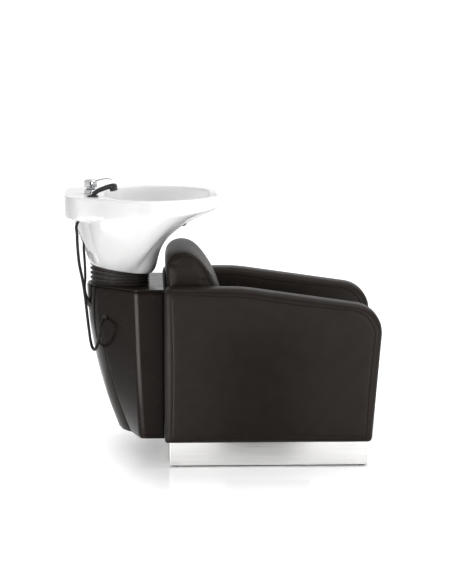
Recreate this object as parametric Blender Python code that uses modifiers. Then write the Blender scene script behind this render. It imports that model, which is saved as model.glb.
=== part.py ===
"""Salon backwash unit: an upholstered armchair on a steel plinth, with a console behind it
that carries a tilting ceramic wash basin, a single-lever mixer and a pull-out hand shower.

Metres. +X is the way the sitter faces, +Y is the sitter's left, +Z is up.
"""
import math

import bmesh
import bpy
from mathutils import Matrix, Vector

# Gap between touching pieces, and the running gap of pieces that turn or slide in others
FIT = 0.0003
RUN = 0.0006

# Everything is drawn from the arms' own datum, then moved so the origin is at mid-length
ORIGIN_SHIFT_X = -0.005

# Plinth and glides
PLINTH_REAR_X = -0.185
PLINTH_FRONT_X = 0.522
PLINTH_HALF_Y = 0.300
PLINTH_TOP_Z = 0.0885
PLINTH_PANEL = 0.015
GLIDE_HEIGHT = 0.004
GLIDE_RADIUS = 0.014
GLIDE_INSET = 0.012

# Armrests: the side outline runs from the rear foot over the sloping top to the front foot
ARM_OUTER_Y = 0.330
ARM_THICK = 0.105
ARM_REAR_X = -0.203
ARM_TOP_Z = 0.6465
ARM_SLOPE_START_X = 0.070
ARM_FRONT_TOP = (0.5805, 0.573)
ARM_FRONT_FOOT_X = 0.5385
ARM_FRONT_RADIUS = 0.105
ARM_EDGE_ROUND = 0.013

# Seat and back
BOARD = 0.018
SEAT_SIDE_GAP = 0.0008
SEAT_BOARD_TOP_Z = 0.343
SEAT_FRONT_X = 0.530
SEAT_TOP_Z = 0.462
APRON_THICK = 0.028
BACK_BOARD_REAR_X = ARM_REAR_X + 0.003
BACK_BOARD_TOP_Z = 0.505
BACK_FRONT_FOOT_X = 0.014
BACK_TOP_Z = 0.768

# Console: half an octagon with a rounded nose, leaning in towards the floor
CONSOLE_HALF_Y = ARM_OUTER_Y - ARM_THICK
CONSOLE_TOP_Z = 0.630
CONSOLE_TOP_THICK = 0.008
CONSOLE_OVERHANG = 0.0015
CONSOLE_PANEL = 0.004
CONSOLE_CORNER_TOP_X = -0.304
CONSOLE_CORNER_FOOT_X = -0.288
CONSOLE_CORNER_ROUND = 0.022
CONSOLE_NOSE_FOOT_X = -0.360
CONSOLE_NOSE_LEAN = -0.226
CONSOLE_NOSE_CURVE = 0.108
CONSOLE_NOSE_HALF_Y = 0.100
CONSOLE_NOSE_BOW = 0.040
CONSOLE_FLOOR_THICK = 0.008
WASTE_FLOOR_HOLE = 0.027
COLLAR_HOLE_RADIUS = 0.092

# Inner frame
POST_SIZE = 0.030
POST_X = -0.245
POST_Y = 0.150
SUPPORT_THICK = 0.012
SUPPORT_REAR_X = -0.432
SUPPORT_TOP_Z = 0.612
SUPPORT_HALF_Y = 0.172
SUPPORT_REAR_HALF_Y = 0.070

# Basin: foot ring, rim outline and the neck cradle
FOOT_X = -0.362
FOOT_RISE = 0.0515
FOOT_Z = CONSOLE_TOP_Z + FOOT_RISE
FOOT_RADIUS = 0.113
FOOT_INNER_RADIUS = 0.097
FOOT_PITCH = math.radians(9.1)
FOOT_RECESS = 0.018
FLOOR_THICK = 0.014
DRAIN_RADIUS = 0.0235
DRAIN_SEAT_RADIUS = 0.0305
BASIN_HEIGHT = 0.2725
DECK_RISE = 0.004
RIM_Z = FOOT_Z + BASIN_HEIGHT
DECK_Z = RIM_Z + DECK_RISE
RIM_CENTRE_X = -0.250
RIM_ROUND = 0.006
NECK_DIP = 0.032
NECK_LIP_DIP = 0.014
NECK_HALF_Y = 0.105
SIDE_FULLNESS = 1.8
BOWL_FULLNESS = 0.22
BASIN_STEPS = 64
RIM_OUTLINE = ((-0.562, 0.0), (-0.561, 0.085), (-0.553, 0.142), (-0.524, 0.184), (-0.470, 0.204),
               (-0.380, 0.246), (-0.270, 0.275), (-0.160, 0.259), (-0.070, 0.208), (-0.012, 0.134),
               (0.0, 0.064), (0.0, 0.0))
BODY_OUTLINE = ((-0.533, 0.0), (-0.530, 0.058), (-0.518, 0.098), (-0.490, 0.134), (-0.462, 0.186),
                (-0.412, 0.228), (-0.350, 0.254), (-0.270, 0.270), (-0.160, 0.253), (-0.075, 0.200),
                (-0.022, 0.126), (-0.011, 0.059), (-0.011, 0.0))
BOWL_OUTLINE = ((-0.418, 0.0), (-0.418, 0.085), (-0.402, 0.154), (-0.350, 0.221), (-0.270, 0.250),
                (-0.165, 0.235), (-0.085, 0.185), (-0.042, 0.117), (-0.032, 0.054), (-0.032, 0.0))
LIP_FRONT = 0.037
LIP_SIDE = 0.049
LIP_FRONT_Z = RIM_Z - LIP_FRONT
LIP_SIDE_Z = RIM_Z - LIP_SIDE
LIP_DEPTH = 0.018
SKIRT_SAG = 0.020
DECK_THICK = 0.020
DECK_SKIRT = 0.088
DECK_SKIRT_Z = DECK_Z - DECK_SKIRT
POCKET_FRONT_X = -0.446
POCKET_REAR_X = -0.547
POCKET_HALF_Y = 0.079
HOLLOW_RISE = 0.0535
HOLLOW_LOW_Z = FOOT_Z + HOLLOW_RISE
CHANNEL_FRONT_X = -0.472
CHANNEL_LOW_Y = -0.0686
CHANNEL_HIGH_Y = -0.0036

# Tilt mechanism: one hinge axis across the unit, under the bowl
TILT_X = FOOT_X
TILT_DROP = 0.0295
TILT_Z = FOOT_Z - TILT_DROP
PIN_RADIUS = 0.006
PIN_HEAD = 0.004
BRACKET_LENGTH = 0.120
BRACKET_BASE = 0.008
EAR_OUTER_Y = 0.062
EAR_THICK = 0.006
EAR_RADIUS = 0.014
YOKE_LENGTH = 0.120
YOKE_THICK = 0.006

# Bellows collar
COLLAR_RADIUS = 0.104
COLLAR_RIB = 0.0045
COLLAR_RIBS = 4
COLLAR_WALL = 0.003
COLLAR_STEPS = 36

# Waste
TAIL_RADIUS = 0.016
WASTE_FLANGE_RADIUS = 0.0295
WASTE_HOSE_RADIUS = 0.020
WASTE_TAIL_END = -0.034
WASTE_PASSAGE_RADIUS = 0.034

# Mixer: the body stands on the deck, the handle turns on it and lifts about its ball
MIXER_X = -0.466
MIXER_Y = -0.055
MIXER_RADIUS = 0.0235
MIXER_RING = 0.003
MIXER_SHOULDER = 0.015
MIXER_BALL_RISE = 0.012
MIXER_BALL_RADIUS = 0.017
MIXER_CAP_RISE = 0.026
MIXER_SHOULDER_Z = DECK_Z + MIXER_SHOULDER
MIXER_BALL_Z = MIXER_SHOULDER_Z + MIXER_BALL_RISE
MIXER_CAP_Z = MIXER_BALL_Z + MIXER_CAP_RISE
LEVER_TIP_X = -0.384
LEVER_RADIUS = 0.0026
SHANK_RADIUS = 0.014
SHANK_LENGTH = 0.036
SHANK_END_Z = DECK_Z - SHANK_LENGTH
SHANK_NUT_RADIUS = 0.0185

# Hand shower: leaning gland in the deck, handset with its tail, hose
SHOWER_X = -0.458
SHOWER_Y = -0.146
SHOWER_LEAN = math.radians(60.0)
SHOWER_NECK_RADIUS = 0.0085
TAIL_LENGTH = 0.092
HOSE_RADIUS = 0.0055
DECK_RING_RADIUS = 0.0195
DECK_RING = 0.004
HEAD_RADIUS = 0.0145
HEAD_DEPTH = 0.013
SUPPLY_RADIUS = 0.0045
SUPPLY_STEP = 0.013
HOSE_GLAND_DROP = math.radians(35.0)
HOSE_GLAND_Z = 0.520
HOSE_GLAND_Y = -0.116
SUPPLY_GLAND_Z = 0.545
SUPPLY_GLAND_Y = -0.036
SUPPLY_GLAND_STEP = 0.020
SUPPLY_GLAND_LEAN = math.radians(25.0)
GLAND_LENGTH = 0.026
GLAND_OUTSIDE = GLAND_LENGTH * 0.62
GLAND_WALL = 0.0034

# Colour, roughness and metallic of each finish
LEATHER = ((0.020, 0.016, 0.014), 0.42, 0.0)
STEEL = ((0.62, 0.62, 0.61), 0.34, 1.0)
GLOSS_BROWN = ((0.016, 0.012, 0.010), 0.22, 0.0)
CERAMIC = ((0.86, 0.86, 0.85), 0.10, 0.0)
CHROME = ((0.72, 0.72, 0.73), 0.08, 1.0)
BLACK_PLASTIC = ((0.018, 0.018, 0.019), 0.38, 0.0)
RUBBER = ((0.014, 0.014, 0.014), 0.62, 0.0)
BLACK_PAINT = ((0.030, 0.030, 0.032), 0.50, 0.2)
PLYWOOD = ((0.44, 0.31, 0.19), 0.70, 0.0)
GREY_PLASTIC = ((0.40, 0.41, 0.42), 0.50, 0.0)

for leftover in list(bpy.data.objects):
    bpy.data.objects.remove(leftover, do_unlink=True)

unit = bpy.data.collections.new("backwash_unit")
bpy.context.scene.collection.children.link(unit)
cutters = bpy.data.collections.new("cutters")
bpy.context.scene.collection.children.link(cutters)


def place(name, shape, finish, smooth=False, parent=None):
    """Link a mesh or a curve as a named piece with its own material."""
    piece = bpy.data.objects.new(name, shape)
    unit.objects.link(piece)
    colour, roughness, metallic = finish
    material = bpy.data.materials.new(name + "_finish")
    material.use_nodes = True
    shader = material.node_tree.nodes["Principled BSDF"]
    shader.inputs["Base Color"].default_value = (*colour, 1.0)
    shader.inputs["Roughness"].default_value = roughness
    shader.inputs["Metallic"].default_value = metallic
    material.diffuse_color = (*colour, 1.0)
    shape.materials.clear()
    shape.materials.append(material)
    if smooth:
        for face in shape.polygons:
            face.use_smooth = True
    if parent:
        carry(piece, parent)
    return piece


def carry(piece, parent):
    """Parent a piece without moving it."""
    piece.parent = parent
    piece.matrix_parent_inverse = parent.matrix_world.inverted()


def axis_empty(name, point, parent=None):
    """An empty on a joint's axis, for the pieces that move about it."""
    empty = bpy.data.objects.new(name, None)
    empty.empty_display_size = 0.05
    empty.location = point
    unit.objects.link(empty)
    bpy.context.view_layer.update()
    if parent:
        carry(empty, parent)
        bpy.context.view_layer.update()
    return empty


def solid(name, points, faces):
    """A mesh from points and faces, with the faces turned outwards."""
    mesh = bpy.data.meshes.new(name)
    mesh.from_pydata([tuple(p) for p in points], [], faces)
    shape = bmesh.new()
    shape.from_mesh(mesh)
    bmesh.ops.recalc_face_normals(shape, faces=shape.faces)
    shape.to_mesh(mesh)
    shape.free()
    return mesh


def box_mesh(name, low, high):
    """An upright box between two corners."""
    shape = bmesh.new()
    bmesh.ops.create_cube(shape, size=1.0)
    for vert in shape.verts:
        for axis in range(3):
            vert.co[axis] = high[axis] if vert.co[axis] > 0 else low[axis]
    mesh = bpy.data.meshes.new(name)
    shape.to_mesh(mesh)
    shape.free()
    return mesh


def extruded(name, outline, low_y, high_y):
    """A prism along Y over an (x, z) outline."""
    count = len(outline)
    points = [(x, low_y, z) for x, z in outline] + [(x, high_y, z) for x, z in outline]
    faces = [tuple(range(count)), tuple(range(2 * count - 1, count - 1, -1))]
    for i in range(count):
        j = (i + 1) % count
        faces.append((i, j, count + j, count + i))
    return solid(name, points, faces)


def plate(name, outline, low_z, high_z):
    """A flat plate over an (x, y) outline."""
    count = len(outline)
    points = [(x, y, low_z) for x, y in outline] + [(x, y, high_z) for x, y in outline]
    faces = [tuple(range(count)), tuple(range(2 * count - 1, count - 1, -1))]
    for i in range(count):
        j = (i + 1) % count
        faces.append((i, j, count + j, count + i))
    return solid(name, points, faces)


def loft(name, rings, wrap=False):
    """Skin a stack of closed rings; the ends are capped, or the last ring meets the first."""
    count = len(rings[0])
    points = [p for ring in rings for p in ring]
    faces = []
    last = len(rings) if wrap else len(rings) - 1
    for r in range(last):
        a = r * count
        b = ((r + 1) % len(rings)) * count
        for i in range(count):
            j = (i + 1) % count
            faces.append((a + i, a + j, b + j, b + i))
    if not wrap:
        faces.append(tuple(range(count)))
        faces.append(tuple(range((len(rings) - 1) * count, len(rings) * count)))
    return solid(name, points, faces)


def in_triangles(mesh):
    """The mesh with each face split into triangles, so that every facet is flat."""
    shape = bmesh.new()
    shape.from_mesh(mesh)
    bmesh.ops.triangulate(shape, faces=shape.faces)
    shape.to_mesh(mesh)
    shape.free()
    return mesh


def rounded(corners, steps=6):
    """An outline through (x, y, radius) corners with each corner rounded."""
    outline = []
    for i, (x, y, radius) in enumerate(corners):
        here = Vector((x, y))
        back = Vector(corners[i - 1][:2]) - here
        ahead = Vector(corners[(i + 1) % len(corners)][:2]) - here
        if radius <= 0.0:
            outline.append((x, y))
            continue
        half = back.angle(ahead) / 2.0
        centre = here + (back.normalized() + ahead.normalized()).normalized() * (radius / math.sin(half))
        start = here + back.normalized() * (radius / math.tan(half)) - centre
        end = here + ahead.normalized() * (radius / math.tan(half)) - centre
        turn = start.angle_signed(end)
        for k in range(steps + 1):
            arm = Matrix.Rotation(-turn * k / steps, 2) @ start
            outline.append(tuple(centre + arm))
    return outline


def heading(a, b, c):
    """The way a smooth curve runs at b, between its neighbours a and c."""
    before = (b - a).length
    after = (c - b).length
    return ((b - a) * (after / before) + (c - b) * (before / after)) / (before + after)


def smooth_path(knots, samples):
    """Points on a smooth curve through the knots, evenly spaced along it."""
    knots = [Vector(k) for k in knots]
    ends = [knots[0] * 2 - knots[1]] + knots + [knots[-1] * 2 - knots[-2]]
    fine = []
    for i in range(1, len(ends) - 2):
        a, b, c, d = ends[i - 1:i + 3]
        leave = heading(a, b, c) * (c - b).length
        arrive = heading(b, c, d) * (c - b).length
        for k in range(24):
            t = k / 24
            blend = t * t * (3.0 - 2.0 * t)
            fine.append(b.lerp(c, blend) + leave * (t * (1.0 - t) ** 2) - arrive * (t * t * (1.0 - t)))
    fine.append(knots[-1])
    lengths = [0.0]
    for p, q in zip(fine, fine[1:]):
        lengths.append(lengths[-1] + (q - p).length)
    path = []
    i = 0
    for k in range(samples):
        want = lengths[-1] * k / (samples - 1)
        while i < len(fine) - 2 and lengths[i + 1] < want:
            i += 1
        span = lengths[i + 1] - lengths[i]
        path.append(fine[i].lerp(fine[i + 1], (want - lengths[i]) / span))
    return path


def tube(name, path, radius, finish, sides=3, radii=None):
    """A round tube along a path, as a bevelled curve with filled ends."""
    curve = bpy.data.curves.new(name, "CURVE")
    curve.dimensions = "3D"
    curve.bevel_depth = radius
    curve.bevel_resolution = sides
    curve.use_fill_caps = True
    line = curve.splines.new("POLY")
    line.points.add(len(path) - 1)
    for k, point in enumerate(path):
        line.points[k].co = (*point, 1.0)
        line.points[k].radius = radii[k] if radii else 1.0
    line.use_smooth = True
    return place(name, curve, finish)


def curve_mesh(piece):
    """Turn a curve piece into a welded mesh, for a Boolean, and remove the curve."""
    bpy.context.view_layer.update()
    graph = bpy.context.evaluated_depsgraph_get()
    mesh = bpy.data.meshes.new_from_object(piece.evaluated_get(graph))
    shape = bmesh.new()
    shape.from_mesh(mesh)
    bmesh.ops.remove_doubles(shape, verts=shape.verts, dist=0.00001)
    bmesh.ops.recalc_face_normals(shape, faces=shape.faces)
    shape.to_mesh(mesh)
    shape.free()
    mesh.transform(piece.matrix_world)
    bpy.data.objects.remove(piece, do_unlink=True)
    return mesh


def turned(name, profile, steps, finish, point, axis=Vector((0, 0, 1)), parent=None, closed=False):
    """A turned piece: an (r, h) profile, down its outer side, screwed round its own axis."""
    mesh = bpy.data.meshes.new(name)
    edges = [(i, i + 1) for i in range(len(profile) - 1)]
    if closed:
        edges.append((len(profile) - 1, 0))
    mesh.from_pydata([(r, 0.0, h) for r, h in profile], edges, [])
    piece = place(name, mesh, finish)
    screw = piece.modifiers.new("turn", "SCREW")
    screw.steps = steps
    screw.render_steps = steps
    screw.use_merge_vertices = True
    screw.merge_threshold = 0.00005
    screw.use_smooth_shade = True
    piece.location = point
    piece.rotation_mode = "QUATERNION"
    piece.rotation_quaternion = Vector((0, 0, 1)).rotation_difference(axis)
    bpy.context.view_layer.update()
    if parent:
        carry(piece, parent)
    return piece


def cutter(name, mesh):
    """A hidden solid for a Boolean."""
    tool = bpy.data.objects.new(name, mesh)
    tool.hide_render = True
    tool.display_type = "WIRE"
    cutters.objects.link(tool)
    return tool


def rod_mesh(name, start, end, radius, steps=24):
    """A plain cylinder between two points."""
    start = Vector(start)
    end = Vector(end)
    shape = bmesh.new()
    bmesh.ops.create_cone(shape, cap_ends=True, segments=steps, radius1=radius, radius2=radius,
                          depth=(end - start).length)
    turn = Vector((0, 0, 1)).rotation_difference(end - start).to_matrix().to_4x4()
    bmesh.ops.transform(shape, matrix=Matrix.Translation((start + end) / 2) @ turn, verts=shape.verts)
    mesh = bpy.data.meshes.new(name)
    shape.to_mesh(mesh)
    shape.free()
    return mesh


def combine(piece, tool, operation="DIFFERENCE"):
    """Cut a tool out of a piece, or join it on."""
    step = piece.modifiers.new(tool.name, "BOOLEAN")
    step.operation = operation
    step.solver = "EXACT"
    step.object = tool


def round_edges(piece, width, segments, angle=40.0):
    """Round a piece's sharp edges."""
    bevel = piece.modifiers.new("rounding", "BEVEL")
    bevel.width = width
    bevel.segments = segments
    bevel.limit_method = "ANGLE"
    bevel.angle_limit = math.radians(angle)


def soften(piece, levels):
    """Subdivide a coarse cage into a soft form."""
    smooth = piece.modifiers.new("softening", "SUBSURF")
    smooth.levels = levels
    smooth.render_levels = levels
    for face in piece.data.polygons:
        face.use_smooth = True


def smoothstep(low, high, value):
    t = min(max((value - low) / (high - low), 0.0), 1.0)
    return t * t * (3.0 - 2.0 * t)


# Chair: plinth, boards, arms and cushions

def build_plinth():
    side_low = GLIDE_HEIGHT + FIT
    for side, sign in (("right", -1.0), ("left", 1.0)):
        inner = sign * (PLINTH_HALF_Y - PLINTH_PANEL)
        outer = sign * PLINTH_HALF_Y
        mesh = box_mesh("plinth_" + side, (PLINTH_REAR_X, min(inner, outer), side_low),
                        (PLINTH_FRONT_X, max(inner, outer), PLINTH_TOP_Z))
        round_edges(place("plinth_" + side, mesh, STEEL), 0.0012, 2)
    across = PLINTH_HALF_Y - PLINTH_PANEL - FIT
    for end, low_x in (("rear", PLINTH_REAR_X), ("front", PLINTH_FRONT_X - PLINTH_PANEL)):
        mesh = box_mesh("plinth_" + end, (low_x, -across, side_low),
                        (low_x + PLINTH_PANEL, across, PLINTH_TOP_Z))
        round_edges(place("plinth_" + end, mesh, STEEL), 0.0012, 2)
        glide_x = low_x + PLINTH_PANEL / 2 + (GLIDE_INSET if end == "rear" else -GLIDE_INSET)
        for side, sign in (("right", -1.0), ("left", 1.0)):
            profile = ((0.0, GLIDE_HEIGHT), (GLIDE_RADIUS, GLIDE_HEIGHT), (GLIDE_RADIUS - 0.001, 0.0),
                       (0.0, 0.0))
            turned("glide_" + end + "_" + side, profile, 24, BLACK_PLASTIC,
                   (glide_x, sign * (PLINTH_HALF_Y - GLIDE_INSET - GLIDE_RADIUS / 2), 0.0))


def build_boards():
    half = ARM_OUTER_Y - ARM_THICK - SEAT_SIDE_GAP
    floor = PLINTH_TOP_Z + FIT
    back_front = BACK_BOARD_REAR_X + BOARD
    place("base_board", box_mesh("base_board", (back_front + FIT, -half, floor),
                                 (SEAT_FRONT_X - APRON_THICK - FIT, half, floor + BOARD)), PLYWOOD)
    place("back_board", box_mesh("back_board", (BACK_BOARD_REAR_X, -half, floor),
                                 (back_front, half, BACK_BOARD_TOP_Z)), PLYWOOD)
    apron = place("front_apron", box_mesh("front_apron", (SEAT_FRONT_X - APRON_THICK, -half, floor),
                                          (SEAT_FRONT_X, half, SEAT_BOARD_TOP_Z)), LEATHER)
    round_edges(apron, 0.005, 2)
    place("seat_board", box_mesh("seat_board", (back_front + FIT, -half, SEAT_BOARD_TOP_Z - BOARD),
                                 (SEAT_FRONT_X - APRON_THICK - FIT, half, SEAT_BOARD_TOP_Z)), PLYWOOD)


def arm_outline():
    foot = PLINTH_TOP_Z + FIT
    return rounded(((ARM_REAR_X, foot, 0.004), (ARM_REAR_X, ARM_TOP_Z, 0.020),
                    (ARM_SLOPE_START_X, ARM_TOP_Z, 0.60), (*ARM_FRONT_TOP, ARM_FRONT_RADIUS),
                    (ARM_FRONT_FOOT_X, foot, 0.016)))


def build_arms():
    inner = ARM_OUTER_Y - ARM_THICK
    for side, low, high in (("right", -ARM_OUTER_Y, -inner), ("left", inner, ARM_OUTER_Y)):
        mesh = extruded("arm_" + side, arm_outline(), low, high)
        round_edges(place("arm_" + side, mesh, LEATHER, smooth=True), ARM_EDGE_ROUND, 2, 50.0)


def cushion(name, profile, stations, levels):
    """A soft form: an (x, z) cage section swept along Y, each station drawn in by its scale."""
    middle = Vector((sum(x for x, z in profile), sum(z for x, z in profile))) / len(profile)
    rings = []
    for y, scale in stations:
        rings.append([(middle.x + (x - middle.x) * scale, y, middle.y + (z - middle.y) * scale)
                      for x, z in profile])
    soften(place(name, loft(name, rings), LEATHER), levels)


def build_cushions():
    half = ARM_OUTER_Y - ARM_THICK - SEAT_SIDE_GAP
    low = SEAT_BOARD_TOP_Z + FIT
    rear = BACK_BOARD_REAR_X + BOARD + 0.001
    back = ((rear, low), (rear, 0.450), (rear, 0.575), (-0.201, 0.660), (-0.205, 0.745),
            (-0.160, BACK_TOP_Z + 0.010), (-0.093, BACK_TOP_Z + 0.008), (-0.042, 0.714), (-0.004, 0.642),
            (BACK_FRONT_FOOT_X, 0.540), (BACK_FRONT_FOOT_X + 0.002, 0.440), (BACK_FRONT_FOOT_X, low))
    edge = half - 0.006
    ends = ((-half, 0.90), (-edge, 0.985), (0.0, 1.004), (edge, 0.985), (half, 0.90))
    cushion("backrest_cushion", back, ends, 2)
    front = SEAT_FRONT_X + 0.006
    start = BACK_FRONT_FOOT_X + 0.004
    seat = ((start, low), (start, 0.400), (start + 0.006, SEAT_TOP_Z - 0.006),
            (start + 0.120, SEAT_TOP_Z), (start + 0.300, SEAT_TOP_Z + 0.004),
            (front - 0.060, SEAT_TOP_Z - 0.004), (front - 0.004, SEAT_TOP_Z - 0.022), (front, 0.400),
            (front - 0.006, low), (front - 0.150, low), (start + 0.150, low))
    cushion("seat_cushion", seat, ends, 2)


# Console

def nose_x(z):
    """Where the console's nose stands at a height, on the middle plane."""
    t = (z - PLINTH_TOP_Z) / (CONSOLE_TOP_Z - PLINTH_TOP_Z)
    return CONSOLE_NOSE_FOOT_X + CONSOLE_NOSE_LEAN * t + CONSOLE_NOSE_CURVE * t * t


def nose_point(z, y):
    """A point of the curved nose."""
    return Vector((nose_x(z) + CONSOLE_NOSE_BOW * (y / CONSOLE_NOSE_HALF_Y) ** 2, y, z))


def side_corner_x(z):
    t = (z - PLINTH_TOP_Z) / (CONSOLE_TOP_Z - PLINTH_TOP_Z)
    return CONSOLE_CORNER_FOOT_X + (CONSOLE_CORNER_TOP_X - CONSOLE_CORNER_FOOT_X) * t


def side_line(z, grow=0.0):
    """One side of the console's plan at a height, from the chair round the corner to the nose."""
    rear = ARM_REAR_X - FIT
    seam = nose_point(z, CONSOLE_NOSE_HALF_Y)
    corners = ((rear, 0.0, 0.0), (rear, CONSOLE_HALF_Y + grow, 0.0),
               (side_corner_x(z) - grow * 0.4, CONSOLE_HALF_Y + grow, CONSOLE_CORNER_ROUND),
               (seam.x - grow * 0.7, seam.y + grow * 0.7, 0.0))
    line = rounded(corners, 4)[1:]
    (ax, ay), (bx, by) = line[-2:]
    slant = [(ax + (bx - ax) * k / 5, ay + (by - ay) * k / 5) for k in range(1, 6)]
    return line[:-1] + slant


def console_outline(z, grow=0.0):
    """The whole plan outline of the console at a height."""
    left = side_line(z, grow)
    nose = []
    for k in range(1, 12):
        y = CONSOLE_NOSE_HALF_Y * (1.0 - k / 6.0)
        point = nose_point(z, y)
        nose.append((point.x - grow, point.y))
    right = [(x, -y) for x, y in reversed(left)]
    return left + nose + right


def panel(name, columns, finish):
    """A bent panel: columns of points up its outer face, thickened inwards."""
    rows = len(columns[0])
    points = [p for column in columns for p in column]
    faces = []
    for c in range(len(columns) - 1):
        for r in range(rows - 1):
            a = c * rows + r
            faces.append((a, a + rows, a + rows + 1, a + 1))
    mesh = bpy.data.meshes.new(name)
    mesh.from_pydata([tuple(p) for p in points], [], faces)
    piece = place(name, mesh, finish, smooth=True)
    shell = piece.modifiers.new("thickness", "SOLIDIFY")
    shell.thickness = CONSOLE_PANEL
    shell.offset = -1.0
    shell.use_even_offset = True
    return piece


def panel_heights(low, high, count):
    return [low + (high - low) * k / (count - 1) for k in range(count)]


def hose_gland_axis():
    """The way the shower hose leaves its gland: out of the slanted side, and down."""
    out = Vector((-0.40, -0.92, 0.0)).normalized()
    return out * math.cos(HOSE_GLAND_DROP) - Vector((0, 0, 1)) * math.sin(HOSE_GLAND_DROP)


def hose_gland_point():
    """The middle of the shower hose gland, on the slanted side of the console."""
    line = side_line(HOSE_GLAND_Z)
    (ax, ay), (bx, by) = line[-2:]
    t = (-HOSE_GLAND_Y - ay) / (by - ay)
    return Vector((ax + (bx - ax) * t, HOSE_GLAND_Y, HOSE_GLAND_Z))


def supply_gland_axis():
    """The way the supply hoses leave their glands: up, and back from the nose."""
    return Vector((-math.sin(SUPPLY_GLAND_LEAN), 0.0, math.cos(SUPPLY_GLAND_LEAN)))


def supply_gland_point(y):
    return nose_point(SUPPLY_GLAND_Z, y)


def build_gland(name, point, axis, bore):
    """A rubber gland: a tapered sleeve with its collar on the console's outer face."""
    tip = GLAND_OUTSIDE
    root = GLAND_OUTSIDE - GLAND_LENGTH
    profile = ((bore - 0.0012, tip), (bore + 0.0012, tip), (bore + 0.0030, tip - 0.010),
               (bore + GLAND_WALL, root), (bore - 0.0012, root))
    return turned(name, profile, 20, RUBBER, point, axis, closed=True)


def build_console():
    floor = PLINTH_TOP_Z + FIT
    low = floor + CONSOLE_FLOOR_THICK + FIT
    high = CONSOLE_TOP_Z - CONSOLE_TOP_THICK - FIT
    heights = panel_heights(low, high, 9)
    lines = [side_line(z) for z in heights]
    right = [[Vector((line[k][0], -line[k][1], z)) for z, line in zip(heights, lines)]
             for k in range(len(lines[0]))]
    left = [[Vector((line[k][0], line[k][1], z)) for z, line in zip(heights, lines)]
            for k in range(len(lines[0]))]
    right_panel = panel("console_side_right", right, GLOSS_BROWN)
    panel("console_side_left", list(reversed(left)), GLOSS_BROWN)
    seam = CONSOLE_NOSE_HALF_Y - 0.0012
    nose = []
    for k in range(13):
        y = seam * (1.0 - k / 6.0)
        nose.append([nose_point(z, y) for z in heights])
    cover = panel("console_rear_cover", list(reversed(nose)), GLOSS_BROWN)

    top = place("console_top", plate("console_top", console_outline(CONSOLE_TOP_Z, CONSOLE_OVERHANG),
                                     CONSOLE_TOP_Z - CONSOLE_TOP_THICK, CONSOLE_TOP_Z), GLOSS_BROWN)
    combine(top, cutter("collar_hole", rod_mesh("collar_hole", (FOOT_X, 0, CONSOLE_TOP_Z - 0.05),
                                                (FOOT_X, 0, CONSOLE_TOP_Z + 0.05), COLLAR_HOLE_RADIUS, 32)))
    round_edges(top, 0.0022, 2, 60.0)
    base = place("console_floor", plate("console_floor", console_outline(floor), floor,
                                        floor + CONSOLE_FLOOR_THICK), GLOSS_BROWN)
    waste_end = waste_route()[-1]
    combine(base, cutter("waste_hole", rod_mesh("waste_hole", (waste_end.x, 0, floor - 0.05),
                                                (waste_end.x, 0, floor + 0.05), WASTE_FLOOR_HOLE)))

    point = hose_gland_point()
    axis = hose_gland_axis()
    combine(right_panel, cutter("hose_gland_hole", rod_mesh(
        "hose_gland_hole", point - axis * 0.04, point + axis * 0.04, HOSE_RADIUS + GLAND_WALL + FIT, 20)))
    build_gland("shower_hose_gland", point, axis, HOSE_RADIUS)
    for name, sign in (("hot", 1.0), ("cold", -1.0)):
        point = supply_gland_point(SUPPLY_GLAND_Y + sign * SUPPLY_GLAND_STEP / 2)
        axis = supply_gland_axis()
        combine(cover, cutter(name + "_gland_hole", rod_mesh(
            name + "_gland_hole", point - axis * 0.03, point + axis * 0.03,
            SUPPLY_RADIUS + GLAND_WALL + FIT, 20)))
        build_gland(name + "_supply_gland", point, axis, SUPPLY_RADIUS)


def build_frame():
    low = PLINTH_TOP_Z + CONSOLE_FLOOR_THICK + 2 * FIT
    high = SUPPORT_TOP_Z - SUPPORT_THICK - FIT
    for side, sign in (("right", -1.0), ("left", 1.0)):
        y = sign * POST_Y
        mesh = box_mesh("frame_post_" + side, (POST_X - POST_SIZE / 2, y - POST_SIZE / 2, low),
                        (POST_X + POST_SIZE / 2, y + POST_SIZE / 2, high))
        round_edges(place("frame_post_" + side, mesh, BLACK_PAINT), 0.003, 2)
    front = POST_X + POST_SIZE / 2 + 0.004
    wide = SUPPORT_HALF_Y
    narrow = SUPPORT_REAR_HALF_Y
    outline = ((front, -wide), (front, wide), (POST_X - 0.06, wide), (SUPPORT_REAR_X, narrow),
               (SUPPORT_REAR_X, -narrow), (POST_X - 0.06, -wide))
    support = place("support_plate", plate("support_plate", outline, SUPPORT_TOP_Z - SUPPORT_THICK,
                                           SUPPORT_TOP_Z), BLACK_PAINT)
    combine(support, cutter("support_hole", rod_mesh(
        "support_hole", (FOOT_X, 0, SUPPORT_TOP_Z - 0.05), (FOOT_X, 0, SUPPORT_TOP_Z + 0.05),
        WASTE_PASSAGE_RADIUS)))


# Basin

def foot_frame():
    """The basin foot's own frame: its origin on the hinge axis, its z square to the foot ring."""
    return Matrix.Translation((TILT_X, 0.0, TILT_Z)) @ Matrix.Rotation(FOOT_PITCH, 4, "Y")


FOOT_HEIGHT = (FOOT_Z - TILT_Z) * math.cos(FOOT_PITCH)


def foot_point(radius, angle, height):
    """A point of a circle round the foot's axis, a height above the foot ring's face."""
    return foot_frame() @ Vector((radius * math.cos(angle), radius * math.sin(angle),
                                  FOOT_HEIGHT + height))


def outline_curve(half):
    """A closed smooth plan curve from the half on the +Y side."""
    whole = [Vector((x, y, 0.0)) for x, y in half]
    whole += [Vector((x, -y, 0.0)) for x, y in reversed(half[1:-1])]
    return smooth_path([whole[-1]] + whole + [whole[0], whole[1]], 600)


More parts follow.
